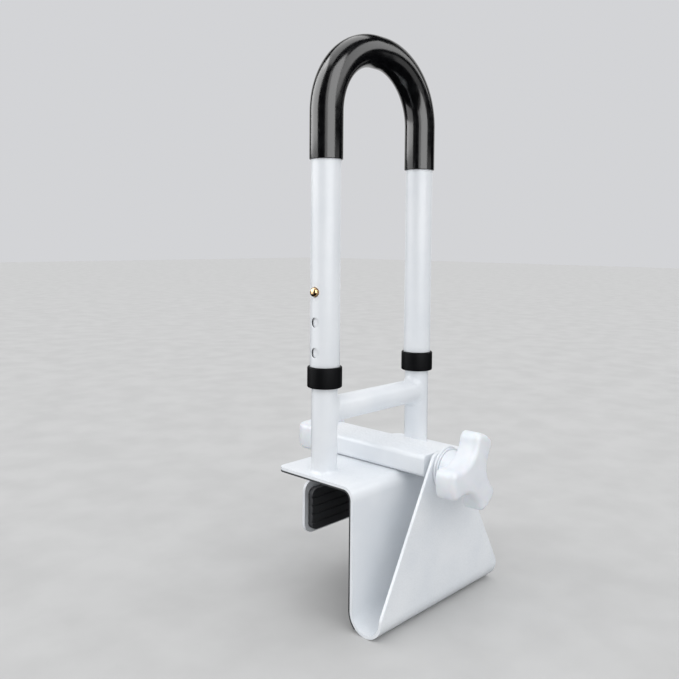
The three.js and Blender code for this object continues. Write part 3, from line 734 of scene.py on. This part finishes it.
bare_steel_painted_shade, shader, place = new_finish("oven_dulled_bare_steel_painted_shade", "white_powder_coat",
                                       {"Metallic": 1.0})
scale = add_node(bare_steel_painted_shade, "ShaderNodeTexNoise",
                 {"Scale": per_mm(2), "Detail": 3.0}, {"Vector": place})
gloss = add_node(bare_steel_painted_shade, "ShaderNodeMapRange", {"To Min": 0.5, "To Max": 0.7},
                 {"Value": scale.outputs["Fac"]})
share = add_node(bare_steel_painted_shade, "ShaderNodeMapRange", MIDDLE, {"Value": scale.outputs["Fac"]})
# Dark grey: bare steel, made darker still as painted shade in the bore and the hole walls.
colour = add_node(bare_steel_painted_shade, "ShaderNodeMix",
                  {DARK: linear("#2E2F31"), LIGHT: linear("#4A4B4D")},
                  {SHARE: share.outputs["Result"]}, data_type="RGBA")
feed(bare_steel_painted_shade, shader, {"Base Color": colour.outputs[MIXED],
                          "Roughness": gloss.outputs["Result"]})
handle.data.materials.append(bare_steel_painted_shade)
# The bore and the hole walls get the dark finish that paints their shade.
bare = 0
for face in handle.data.polygons:
    corners = [handle.data.vertices[v].co for v in face.vertices]
    depth = max(math.hypot(abs(corner.x) - LEG_X * MM, corner.y) for corner in corners)
    if face.center.z < ARCH_Z * MM and depth < BARE_AND_SHADED_WITHIN * MM:
        face.material_index = 1
        bare += 1
print("bare faces in the bore:", bare)

# %% [markdown]
# ## Grip and collars
#
# The dipped grip is a second, thicker skin over the arch, with soft rounded ends. The collars'
# profile has two bores: the wide one takes the handle tube, and below it a lip steps in to the
# post, so that the collar guides the handle on the post.

# %% Grip and collars
GRIP_FOOT, GRIP_RADIUS, GRIP_BORE, GRIP_LIP = 266.5, 14.2, 12.95, 0.6
COLLAR_FOOT, COLLAR_HEIGHT, COLLAR_RADIUS = 76.0, 17.7, 14.8
WIDE_BORE, LIP_BORE, LIP_HEIGHT = 12.95, 11.4, 2.5
COLLAR_ROUND, BORE_ROUND = 1.2, 0.3

make_piece("dipped_grip", pipe(handle_line(GRIP_FOOT), GRIP_RADIUS, GRIP_BORE, lip=GRIP_LIP), vinyl,
           "handle", ["grip"])
collar_profile = rounded_outline([
    (LIP_BORE, 0, BORE_ROUND), (COLLAR_RADIUS, 0, COLLAR_ROUND),
    (COLLAR_RADIUS, COLLAR_HEIGHT, COLLAR_ROUND), (WIDE_BORE, COLLAR_HEIGHT, BORE_ROUND),
    (WIDE_BORE, LIP_HEIGHT, 0), (LIP_BORE, LIP_HEIGHT, 0)])
for side, word in SIDES:
    make_piece(f"moulded_collar_{word}",
               placed(turned(collar_profile), move=(side * LEG_X, 0, COLLAR_FOOT)),
               collar_plastic, "handle", [f"collar_{word}"])

# %% [markdown]
# ## Cross tube
#
# A short tube joins the posts. Its ends are coped: sawn hollow with a hole saw so that they fit
# round the post. Here each end ring is laid on the post's cylinder, which is what coping does.

# %% Coped cross tube
CROSS_Z, CROSS_RADIUS, CROSS_BORE, CROSS_GAP = 55.8, 11.0, 9.5, 0.25


def coped_x(y):
    """Where the tube ends at this depth, a small gap off the post."""
    return LEG_X - math.sqrt((POST_RADIUS + CROSS_GAP) ** 2 - y ** 2)


def cross_ring(radius, share, sides=96):
    """A ring whose points have all gone the same share of the way to the post."""
    row = []
    for t in all_round(sides):
        y, z = radius * math.cos(t), radius * math.sin(t)
        row.append((share * coped_x(y), y, CROSS_Z + z))
    return row


shares = [-1 + k / 4 for k in range(9)]
cross_rings = [cross_ring(CROSS_RADIUS, s) for s in shares]
cross_rings += [cross_ring(CROSS_BORE, s) for s in reversed(shares)]
make_piece("coped_cross_tube", skin(cross_rings, closed=True), powder_coat, "frame",
           ["cross_tube"])

# %% [markdown]
# ## Weld beads
#
# The posts, the cross tube and the bar's end plate are welded before coating. A fillet weld fills
# the inner corner between two faces with a slightly hollow bead, and the coat smooths its ripples.
# Each bead is a skin over small sections: two feet, one on each face, and a curve between them.

# %% Fillet beads
SUNK, ROOT, HOLLOW = 0.05, 1.0, 0.12  # how deep the corner and the root lie; the curve's sag
FOOT_BEAD, JOINT_BEAD, BEAD_SHARP = 2.6, 4.2, 60


def fillet_bead(corners, size, closed=True, ripple=0.06, waves=36):
    """corners are (corner, direction on one face, direction on the other, inward, snap)."""
    rows = []
    for i, (corner, along_a, along_b, inward, snap) in enumerate(corners):
        reach = size * (1 + ripple * math.sin(math.tau * waves * i / len(corners)))
        foot_a, foot_b = corner + along_a * reach, snap(corner + along_b * reach)
        row = [corner + inward * ROOT]
        for k in range(9):
            s = k / 8
            row.append(foot_a * (1 - s) ** 2 + corner * (2 * s * (1 - s)) + foot_b * s ** 2
                       - inward * (HOLLOW * size * math.sin(math.pi * s)))
        rows.append(row)
    return skin(rows, closed)


def stay(point):
    """The snap of a flat face: the point is on it already."""
    return point


def foot_corners(x, sides=216):
    """The line where a post meets the plate."""
    rows = []
    for t in all_round(sides):
        out = Vector((math.cos(t), math.sin(t), 0))
        corner = Vector((x, 0, POST_FOOT - SUNK)) + out * (POST_RADIUS - SUNK)
        rows.append((corner, Vector((0, 0, 1)), out, (Vector((0, 0, -1)) - out).normalized(), stay))
    return rows


def joint_corners(side, sides=216):
    """The line where the cross tube meets a post, and the two ways off it."""
    axis = Vector((side * LEG_X, 0, CROSS_Z))

    def on_post(point):
        off = Vector((point.x - axis.x, point.y, 0)).normalized() * (POST_RADIUS - SUNK)
        return Vector((axis.x + off.x, off.y, point.z))

    rows = []
    for t in all_round(sides):
        y, z = (CROSS_RADIUS - SUNK) * math.cos(t), (CROSS_RADIUS - SUNK) * math.sin(t)
        corner = on_post(Vector((side * coped_x(y), y, CROSS_Z + z)))
        tube_normal = Vector((0, math.cos(t), math.sin(t)))
        post_normal = Vector((corner.x - axis.x, corner.y, 0)).normalized()
        on_wall = (tube_normal - post_normal * tube_normal.dot(post_normal)).normalized()
        inward = -(tube_normal + post_normal).normalized()
        rows.append((corner, Vector((-side, 0, 0)), on_wall, inward, on_post))
    return rows


for side, word in SIDES:
    make_piece(f"post_foot_weld_{word}", fillet_bead(foot_corners(side * LEG_X), FOOT_BEAD),
               powder_coat, "frame", sharp_above=BEAD_SHARP)
    make_piece(f"cross_tube_weld_{word}", fillet_bead(joint_corners(side), JOINT_BEAD),
               powder_coat, "frame", sharp_above=BEAD_SHARP)

# %% [markdown]
# ## Clamp bar
#
# The bar is flat rectangular tube, 42 by 18.4 mm with 4 mm corners. A threaded plate closes its
# outer end, and a moulded cap plugs the inner one.

# %% Bar and end plate
BAR_Z, BAR_OUTER, BAR_INNER = 13.5, -66.75, 56.6
BAR_HALF, BAR_CORNER = (21.0, 9.2), 4.0
BORE_HALF, BORE_CORNER = (19.8, 8.0), 2.8
PLATE_OUTER, PLATE_INNER, PLATE_EDGE = -73.0, -67.0, 0.8
THREAD_HOLE, THREAD_CUT = 4.25, (-80, -60)


def bar_ring(y, inset=0.0, half=BAR_HALF, corner=BAR_CORNER):
    """The bar's section at one place along it."""
    section = rectangle(half[0] - inset, half[1] - inset, corner - inset)
    return [(p.x, y, BAR_Z + p.y) for p in section]


stations = (BAR_OUTER, -40.0, 0.0, 40.0, BAR_INNER)
bar_rings = [bar_ring(y) for y in stations]
bar_rings += [bar_ring(y, 0, BORE_HALF, BORE_CORNER) for y in reversed(stations)]
make_piece("flat_clamp_bar", skin(bar_rings, closed=True), powder_coat, "jaw", ["clamp_bar"])

plate_rings = [bar_ring(PLATE_OUTER + s, c) for c, s in reversed(quarter_round(PLATE_EDGE, 5))]
plate_rings.append(bar_ring(PLATE_INNER))
make_piece("bar_end_plate", skin(plate_rings), powder_coat, "jaw", ["threaded_end_plate"],
           cut=[on_bolt(rod(THREAD_HOLE, *THREAD_CUT))])

# %% [markdown]
# The cap's head stands 2.4 mm proud of the bar all round. Each of its layers is its rounded plan,
# drawn in by the quarter circle of the edge, from the lowest layer up to the highest.

# %% End cap
HEAD_START, HEAD_END, HEAD_CORNER, HEAD_EDGE, HEAD_LIP = 56.85, 80.85, 15.0, 4.5, 2.4
PLUG_START, PLUG_END, PLUG_HALF, PLUG_CORNER = 44.6, 60.0, (19.55, 7.75), 2.55
CAP_SHARP = 50

cap_layers = []
for k in range(-8, 9):
    a = math.radians(90 * k / 8)
    inset = HEAD_EDGE * (1 - math.cos(a))
    sign = (k > 0) - (k < 0)
    height = (BAR_HALF[1] + HEAD_LIP - HEAD_EDGE) * sign + HEAD_EDGE * math.sin(a)
    w, radius = BAR_HALF[0] + HEAD_LIP - inset, HEAD_CORNER - inset
    plan = rounded_outline([(-w, HEAD_START, 0), (w, HEAD_START, 0),
                            (w, HEAD_END - inset, radius), (-w, HEAD_END - inset, radius)], 10)
    cap_layers.append([(p.x, p.y, BAR_Z + height) for p in plan])
plug = skin([bar_ring(y, 0, PLUG_HALF, PLUG_CORNER) for y in (PLUG_START, PLUG_END)])
make_piece("moulded_end_cap", skin(cap_layers), nylon, "jaw", ["bar_end_cap"], add=[plug],
           sharp_above=CAP_SHARP)

# %% [markdown]
# The seam between the bar and its end plate is welded and ground, so only a low band shows.

# %% Ground weld around the bar's end
SEAM_Y, BAND_HALF, BAND_RISE, BAND_SUNK = -66.875, 1.3, 0.12, 0.03
UNDERCUT_ENDS, UNDERCUT = (-66.0, -67.7), 0.6  # the band's underside, inside the tube's wall

band = []
for k in range(9):
    a = math.radians(180 * k / 8)
    band.append(bar_ring(SEAM_Y - BAND_HALF * math.cos(a), BAND_SUNK - BAND_RISE * math.sin(a)))
band += [bar_ring(y, UNDERCUT) for y in UNDERCUT_ENDS]
make_piece("bar_end_weld", skin(band, closed=True), powder_coat, "jaw")

# %% [markdown]
# ## The jaw and its pad
#
# An angle of 3 mm sheet hangs under the bar's inner end. Its narrow neck widens to a shoe, which
# carries a ribbed rubber pad. Jaw and outer leg are the two sides of the clamp, and turning the
# knob draws the jaw towards the leg. The angle is one more sheet strip.

# %% Jaw
JAW_TOP, JAW_Y, JAW_SHEET, JAW_BEND, JAW_END = 4.05, 42.0, 3.0, 4.0, 56.0
SHOE_HALF, NECK_HALF, JAW_ROUND = 45.0, 12.0, 10.0
SHOE_FOOT, SHOE_SHOULDER, NECK_FOOT = JAW_TOP - 72, JAW_TOP - 27, JAW_TOP - 12
FAR_ABOVE = 40.0  # the outline's closing corners, which are dropped again

jaw_outline = rounded_outline([
    (0, SHOE_FOOT, 0), (SHOE_HALF, SHOE_FOOT, JAW_ROUND), (SHOE_HALF, SHOE_SHOULDER, JAW_ROUND),
    (NECK_HALF, NECK_FOOT, JAW_ROUND), (NECK_HALF, FAR_ABOVE, 0), (0, FAR_ABOVE, 0)], 10)
jaw_rows = [strip_section((JAW_Y, p.y), (JAW_Y + JAW_SHEET, p.y), p.x)
            for p in jaw_outline if p.x > 0 and p.y < JAW_TOP - JAW_BEND]
bend = (JAW_Y + JAW_BEND, JAW_TOP - JAW_BEND)
for k in range(13):
    turn = 180 - 90 * k / 12
    jaw_rows.append(strip_section(around(bend, JAW_BEND, turn),
                                  around(bend, JAW_BEND - JAW_SHEET, turn), NECK_HALF))
jaw_rows.append(strip_section((JAW_END, JAW_TOP), (JAW_END, JAW_TOP - JAW_SHEET), NECK_HALF))
make_piece("hanging_jaw", skin(jaw_rows), powder_coat, "jaw", ["inner_jaw"], edge=SHEET_EDGE)

# %% [markdown]
# The pad is its outline given thickness, with grooves cut across. Here the cuts come before the
# rounding, so that every edge of a groove is rounded too, as it is when rubber leaves its mould.

# %% Ribbed pad
PAD_BACK, PAD_FACE, PAD_LOW, PAD_HIGH = 41.75, 35.95, -63.95, -25.95
PAD_HALF, PAD_CORNER, PAD_EDGE = 41.0, 6.0, 0.45
GROOVES, GROOVE_HALF, GROOVE_FLOOR = 4, 1.0, PAD_FACE + 1.2
CUT_FROM, CUT_HALF = 30.0, 50.0  # how far the cutters reach in front of the pad and beside it

pad_middle, pad_height = (PAD_LOW + PAD_HIGH) / 2, PAD_HIGH - PAD_LOW
pad_outline = rectangle(PAD_HALF, pad_height / 2, PAD_CORNER, 10)
pad = skin([[(p.x, y, pad_middle + p.y) for p in pad_outline] for y in (PAD_BACK, PAD_FACE)])
grooves = []
for i in range(1, GROOVES + 1):
    z = PAD_LOW + pad_height * i / (GROOVES + 1)
    low, high = z - GROOVE_HALF, z + GROOVE_HALF
    section = ((CUT_FROM, low), (GROOVE_FLOOR, low), (GROOVE_FLOOR, high), (CUT_FROM, high))
    grooves.append(skin([[(x, y, h) for y, h in section] for x in (-CUT_HALF, CUT_HALF)]))
jaw_pad = make_mesh("ribbed_jaw_pad", pad)
combine(jaw_pad, grooves, "DIFFERENCE")
round_edges(jaw_pad, PAD_EDGE)
smooth(jaw_pad)
dress(jaw_pad, rubber, "jaw", ["jaw_pad"])

# %% [markdown]
# Two short beads hold the flange to the bar's underside.

# %% Beads along the flange
BEAD_X, BEAD_Z, BEAD_START, BEAD_LENGTH, FLANGE_BEAD = 11.9, 4.4, 46.5, 8.5, 2.0

for side, word in SIDES:
    line = [(Vector((side * BEAD_X, BEAD_START + BEAD_LENGTH * k / 60, BEAD_Z)),
             Vector((side, 0, 0)), Vector((0, 0, -1)), Vector((-side, 0, 1)).normalized(), stay)
            for k in range(61)]
    make_piece(f"flange_weld_{word}", fillet_bead(line, FLANGE_BEAD, closed=False, waves=8),
               powder_coat, "jaw", sharp_above=BEAD_SHARP)

# %% [markdown]
# ## Knob
#
# The knob is moulded around the bolt's head: three blunt lobes with hollow valleys, so that fingers
# find purchase even when wet. Its outline is made of arcs that touch: the tip, two corners and the
# valley. Drawing the outline at several insets, one for each step of the edge's quarter circle,
# rounds the front edge by 5 mm and the back by 1.5 mm without any bevel going astray.

# %% The knob's outline
TIP, VALLEY, CORNER, SPREAD = 34.2, 16.5, 6.5, math.radians(12)
KNOB_TURN, LOBES = math.radians(66), 3


def knob_outline(inset, steps=10):
    """The outline drawn in by this many millimetres."""
    reach, half_gap = TIP - CORNER, math.pi / LOBES
    c = math.cos(half_gap - SPREAD)
    hollow = ((reach ** 2 + VALLEY ** 2 - 2 * reach * VALLEY * c - CORNER ** 2)
              / (2 * (reach * c + CORNER - VALLEY)))
    out = []

    def spot(angle, distance):
        return Vector((math.cos(angle), math.sin(angle))) * distance

    def arc(centre, radius, start, turn, count, skip_first=True, skip_last=False):
        for k in range(1 if skip_first else 0, count if skip_last else count + 1):
            out.append(centre + spot(start + turn * k / count, radius))

    for lobe in range(LOBES):
        axis = KNOB_TURN + 2 * half_gap * lobe
        before, after = spot(axis - SPREAD, reach), spot(axis + SPREAD, reach)
        valley_before, valley_after = (spot(axis + s * half_gap, VALLEY + hollow)
                                       for s in (-1, 1))
        lean_in = math.atan2(*(before - valley_before).yx)
        lean_out = math.atan2(*(after - valley_after).yx)
        flank_in = math.remainder(lean_in + math.pi - (axis - SPREAD), math.tau)
        flank_out = math.remainder(lean_out + math.pi - (axis + SPREAD), math.tau)
        arc(before, CORNER - inset, axis - SPREAD + flank_in, -flank_in, steps, skip_first=False)
        arc(Vector((0, 0)), TIP - inset, axis - SPREAD, 2 * SPREAD, steps)
        arc(after, CORNER - inset, axis + SPREAD, flank_out, steps)
        turn = 2 * math.remainder(axis + half_gap + math.pi - lean_out, math.tau)
        arc(valley_after, hollow + inset, lean_out, turn, 2 * steps, skip_last=True)
    return out


print("points around the knob:", len(knob_outline(0)))

# %% Knob with its hub
KNOB_BACK, BACK_EDGE = -94.05, 1.5
KNOB_FRONT, FRONT_EDGE = -112.05, 5.0
HUB_RADIUS, HUB_INSIDE, HUB_BACK, HUB_EDGE, KNOB_SHARP = 16.0, -98.0, -84.05, 0.6, 50


def knob_ring(inset, y):
    """The knob's outline, drawn in, at one place along the bolt."""
    return [(p.x, y, BOLT_Z + p.y) for p in knob_outline(inset)]


knob_rings = [knob_ring(c, KNOB_BACK - s) for c, s in reversed(quarter_round(BACK_EDGE, 8))]
knob_rings += [knob_ring(c, KNOB_FRONT + s) for c, s in quarter_round(FRONT_EDGE, 8)]
hub_profile = rounded_outline([(0, HUB_INSIDE, 0), (HUB_RADIUS, HUB_INSIDE, 0),
                               (HUB_RADIUS, HUB_BACK, HUB_EDGE), (0, HUB_BACK, 0)], 4)
make_piece("three_lobed_knob", skin(knob_rings), nylon, "screw", ["knob"],
           add=[on_bolt(turned(hub_profile))], sharp_above=KNOB_SHARP)

# %% [markdown]
# ## Bolt, washers and ring
#
# The bolt is M8 with a pitch of 1.25 mm, and its thread shows in the gap behind the tongue, the
# more the further the jaw is opened. The thread is a rod whose radius follows a ramp that moves
# once round for each pitch; at both ends it fades into the core. Its hexagon head is inside the
# knob.

# %% Bolt with a real thread
PITCH, CREST, CORE, FLAT = 1.25, 4.0, 3.25, 0.12  # FLAT is the share of the pitch cut off the ramp
THREAD_START, THREAD_END, STEPS_PER_PITCH = -100.0, -15.0, 8
HEAD_RADIUS, HEAD_FRONT, HEAD_BACK, THREAD_SHARP = 7.5, -103.05, -97.75, 30


def thread_radius(y, angle):
    """The thread's radius at one place along the bolt and around it."""
    phase = (y / PITCH + angle / math.tau) % 1.0
    depth = min(1.0, max(0.0, (abs(phase - 0.5) * 2 - FLAT) / (1 - 2 * FLAT)))
    fade = min(1.0, (y - THREAD_START) / PITCH, (THREAD_END - y) / PITCH)
    crest = CREST - (CREST - CORE) * (1 - max(0.0, fade))
    return crest + (CORE - crest) * depth


def bolt_ring(y, sides=40):
    """A ring of the thread."""
    points = [(thread_radius(y, t), t) for t in all_round(sides)]
    return [(r * math.cos(t), y, BOLT_Z + r * math.sin(t)) for r, t in points]


thread_length = THREAD_END - THREAD_START
count = int(thread_length / PITCH * STEPS_PER_PITCH)
bolt_rings = [bolt_ring(THREAD_START + thread_length * k / count) for k in range(count + 1)]
make_piece("threaded_bolt", skin(bolt_rings), zinc, "screw", ["knob_bolt"],
           add=[on_bolt(rod(HEAD_RADIUS, HEAD_FRONT, HEAD_BACK, sides=6))],
           sharp_above=THREAD_SHARP)

# %% [markdown]
# The washers are stamped, and their edges come out rolled. The wide one is steel, coated like the
# bracket, and stays with it. The nylon one between it and the knob turns and lets the knob slip. A
# push-on ring behind the tongue keeps the bolt where it is, so that turning it moves the bar.

# %% Washers and ring
WASHER_BORE_ROUND = 0.2


def washer(radius, thickness, roll, y):
    """A washer round the bolt, from this place along it; roll is the radius of its outer edges."""
    profile = rounded_outline([
        (HOLE_RADIUS, 0, WASHER_BORE_ROUND), (radius, 0, roll), (radius, thickness, roll),
        (HOLE_RADIUS, thickness, WASHER_BORE_ROUND)])
    return on_bolt(turned(profile), y)


make_piece("steel_washer", washer(radius=18.5, thickness=1.8, roll=0.5, y=-82.35), powder_coat,
           "frame", ["knob_washer"])
make_piece("slip_washer", washer(radius=17.2, thickness=1.2, roll=0.4, y=-83.8), nylon,
           "screw", ["thrust_washer"])
make_piece("push_on_ring", washer(radius=8.0, thickness=1.5, roll=0.4, y=-77.55), spring_steel,
           "screw", ["retaining_ring"])

# %% [markdown]
# ## Snap buttons and their springs
#
# A brass button stands in the top hole of each leg, held out by a leaf spring folded inside the
# post. The button is turned: a domed head, a shoulder, and a rivet through the spring. The spring
# is steel strip bent into a narrow V. Its front limb is riveted to the button and its back limb
# leans on the post, so a press closes the V.

# %% The spring's strip
STRIP, STRIP_HALF, STRIP_EDGE = 0.8, 3.8, 0.15  # its thickness, half width and edge radius
LIMB, V_RADIUS, V_DROP = 8.4, 4.0, 38.0  # the limbs' distance from the axis; the bend of the V
FRONT_HALF, BACK_LOW, BACK_HIGH = 7.0, -21.0, 4.0  # where the limbs stand upright
LONG_PART, PARTS = 5.0, 8  # a line part longer than this is divided into this many parts


def spring_line(inset):
    """One face of the strip: millimetres from the post's axis and from the button's height."""
    limb, radius = LIMB - inset, V_RADIUS - inset
    bends = [(limb, FRONT_HALF), (limb, -FRONT_HALF)]
    bends += [around((0, -V_DROP), radius, -15 * k) for k in range(13)]
    bends += [(-limb, BACK_LOW), (-limb, BACK_HIGH)]
    line = []
    for (x0, z0), (x1, z1) in zip(bends, bends[1:]):
        parts = PARTS if math.hypot(x1 - x0, z1 - z0) > LONG_PART else 1
        line += [(x0 + (x1 - x0) * k / parts, z0 + (z1 - z0) * k / parts) for k in range(parts)]
    return line + [bends[-1]]


def spring_strip(side):
    """The strip between its two faces, in the leg on this side."""
    rows = []
    for (far_x, far_z), (near_x, near_z) in zip(spring_line(0), spring_line(STRIP)):
        section = ((far_x, -STRIP_HALF, far_z), (far_x, STRIP_HALF, far_z),
                   (near_x, STRIP_HALF, near_z), (near_x, -STRIP_HALF, near_z))
        rows.append([(side * (LEG_X + x), y, HOLE_TOP + z) for x, y, z in section])
    return skin(rows)


print("places along the spring:", len(spring_line(0)))

# %% Buttons and springs
BUTTON_RADIUS, DOME_START, DOME_RISE = 3.8, 13.6, 2.4
RIVET_HOLE, RIVET_CUT = 1.85, (4, 12)
# Radius and distance from the leg's axis: the rivet's head, its shank, and the shoulder.
button_profile = [(0, 6.55), (2.6, 6.55), (2.6, 7.35), (1.6, 7.35), (1.6, 8.65), (3.6, 8.65),
                  (BUTTON_RADIUS, 8.85)]
for k in range(13):
    a = math.radians(7.5 * k)
    button_profile.append((BUTTON_RADIUS * math.cos(a), DOME_START + DOME_RISE * math.sin(a)))

for side, word in SIDES:
    outwards, centre = Matrix.Rotation(math.radians(90 * side), 4, "Y"), (side * LEG_X, 0, HOLE_TOP)
    make_piece(f"brass_button_{word}", placed(turned(button_profile, 64), outwards, centre),
               brass, f"button_{word}", [f"snap_button_{word}"])
    spring = make_piece(f"leaf_spring_{word}", spring_strip(side), spring_steel, None,
                        [f"snap_spring_{word}"],
                        cut=[placed(rod(RIVET_HOLE, *RIVET_CUT, sides=32), outwards, centre)],
                        edge=STRIP_EDGE)
    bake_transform(spring)

# %% [markdown]
# ## Floor
#
# A plain pale floor of matt studio paper, at the lowest point of the fold. It is large enough to
# reach the horizon from every side. Its fibres are drawn as clouds of 60 mm. It has no sheen, and
# the gloss of the grip doesn't show it.

# %% Floor
FLOOR_HALF, FLOOR_TOP, FLOOR_DEPTH = 9000, -111.3, 10.0

floor_paper, shader, place = new_finish("matt_studio_paper", "",
                                        {"Roughness": 0.9, "Specular IOR Level": 0.0})
fibre = add_node(floor_paper, "ShaderNodeTexNoise",
                 {"Scale": per_mm(60), "Detail": 3.0}, {"Vector": place})
share = add_node(floor_paper, "ShaderNodeMapRange", MIDDLE, {"Value": fibre.outputs["Fac"]})
colour = add_node(floor_paper, "ShaderNodeMix",
                  {DARK: linear("#C2C2C1"), LIGHT: linear("#C8C8C7")},
                  {SHARE: share.outputs["Result"]}, data_type="RGBA")
feed(floor_paper, shader, {"Base Color": colour.outputs[MIXED]})
floor_rings = [[(x * FLOOR_HALF, y * FLOOR_HALF, z) for x, y in ((-1, -1), (1, -1), (1, 1), (-1, 1))]
               for z in (FLOOR_TOP - FLOOR_DEPTH, FLOOR_TOP)]
floor = make_mesh("studio_floor", skin(floor_rings))
floor.data.materials.append(floor_paper)
floor.visible_glossy = False
print("floor at", round(floor.bound_box[1][2] / MM, 1), "mm")

# %% [markdown]
# ## Light
#
# A glossy black tube shows its studio like a curved mirror: every lamp becomes a streak along it.
# So the light comes in two kinds. Soft light from wide parts of the sky falls on the white steel
# and isn't mirrored. Reflection panels are only mirrored: a tall one at the left draws the streak
# near each leg's left edge, a wide one in front the broad middle streak, one at the right and one
# overhead the streaks over the arch, and a faint one behind keeps the far edges from going black. A
# panel stands upright around the handle, between two compass angles and two heights.

# %% Ways to make a light
PANEL_DISTANCE = 1.25


def reflector(name, place, aim, size, radiance):
    """A rectangle of even radiance that only reflections see."""
    light = bpy.data.lights.new(name, "AREA")
    light.shape, light.size, light.size_y = "RECTANGLE", *size
    light.energy = radiance * math.pi * size[0] * size[1]
    holder = bpy.data.objects.new(name, light)
    holder.location = place
    holder.rotation_euler = (Vector(aim) - Vector(place)).to_track_quat("-Z", "Y").to_euler()
    holder.visible_diffuse = holder.visible_camera = False
    bpy.context.scene.collection.objects.link(holder)


def panel(name, start, end, low, high, radiance):
    """An upright panel between two angles, in degrees from X, and two heights, in metres."""
    middle, spread = math.radians((start + end) / 2), math.radians(end - start)
    height, width = (low + high) / 2, 2 * PANEL_DISTANCE * math.tan(spread / 2)
    place = (PANEL_DISTANCE * math.cos(middle), PANEL_DISTANCE * math.sin(middle), height)
    reflector(name, place, (0, 0, height), (width, high - low), radiance)


def soft_light(name, turn, height, energy, spread):
    """Light from one part of the sky, seen from the object at these angles; nothing mirrors it."""
    light = bpy.data.lights.new(name, "SUN")
    light.energy, light.angle = energy, math.radians(spread)
    holder = bpy.data.objects.new(name, light)
    turn, height = math.radians(turn), math.radians(height)
    towards = Vector((math.cos(turn) * math.cos(height), math.sin(turn) * math.cos(height),
                      math.sin(height)))
    holder.rotation_euler = towards.to_track_quat("Z", "Y").to_euler()
    holder.visible_glossy = False
    bpy.context.scene.collection.objects.link(holder)


print("panels stand", PANEL_DISTANCE, "m from the handle")

# %% Panels, soft lights and surround
# The numbers are: from and to, in degrees; low and high, in metres; radiance.
panel("left_panel", 102, 164, 0.3, 2.6, 5.3)
panel("left_panel_foot", 114, 166, -0.35, 0.3, 2.2)
panel("front_panel", 229, 280, -0.1, 2.3, 5.1)
panel("front_panel_fade", 214, 228, -0.1, 1.9, 2.4)
panel("right_panel", 282, 338, 0.62, 1.7, 2.6)
panel("right_panel_foot", 282, 318, -0.3, 0.3, 0.8)
panel("back_panel", -5, 80, -0.1, 1.4, 0.8)
reflector("top_panel", place=(0.1, 0.45, 2.0), aim=(0.1, 0.3, 0.3), size=(2.0, 1.4), radiance=2.2)
soft_light("soft_sky", turn=0, height=90, energy=1.0, spread=110)
soft_light("soft_left", turn=150, height=30, energy=0.42, spread=60)
soft_light("soft_front", turn=245, height=30, energy=0.52, spread=60)

surround = bpy.data.worlds.new("pale_surround")
surround.use_nodes = True
background = surround.node_tree.nodes["Background"]
background.inputs["Color"].default_value = linear("#F4F5F8")
background.inputs["Strength"].default_value = 0.72
bpy.context.scene.world = surround
surround.cycles_visibility.glossy = False
bpy.context.scene.view_settings.view_transform = "Standard"

# %% [markdown]
# ## Camera
#
# The camera stands where the photograph was taken from: low, to the left, on the knob's side. A
# tall object is often photographed with the camera level and the frame slid down, which keeps
# uprights upright; here the slide is 9 percent of the frame's width.

# %% Camera
PICTURE, SENSOR = 679, 36.0  # the picture's side in pixels, and the sensor's width in millimetres
FOCAL_LENGTH, CENTRE_ROW = 764.713, 278.80  # both in pixels
CAMERA_PLACE = (-0.522236, -0.446812, 0.200050)
CAMERA_RIGHT, CAMERA_UP = (0.68468, -0.72880, 0.00816), (0.03162, 0.04089, 0.99866)

right = Vector(CAMERA_RIGHT).normalized()
back = right.cross(Vector(CAMERA_UP)).normalized()
up = back.cross(right)
photo_camera = bpy.data.cameras.new("photo_camera")
photo_camera.sensor_width, photo_camera.lens = SENSOR, SENSOR * FOCAL_LENGTH / PICTURE
photo_camera.shift_y = (CENTRE_ROW - PICTURE / 2) / PICTURE
viewer = bpy.data.objects.new("photo_camera", photo_camera)
viewer.matrix_world = (Matrix.Translation(CAMERA_PLACE)
                       @ Matrix((right, up, back)).transposed().to_4x4())
bpy.context.scene.collection.objects.link(viewer)
bpy.context.scene.camera = viewer
print("lens in mm:", round(photo_camera.lens, 2))
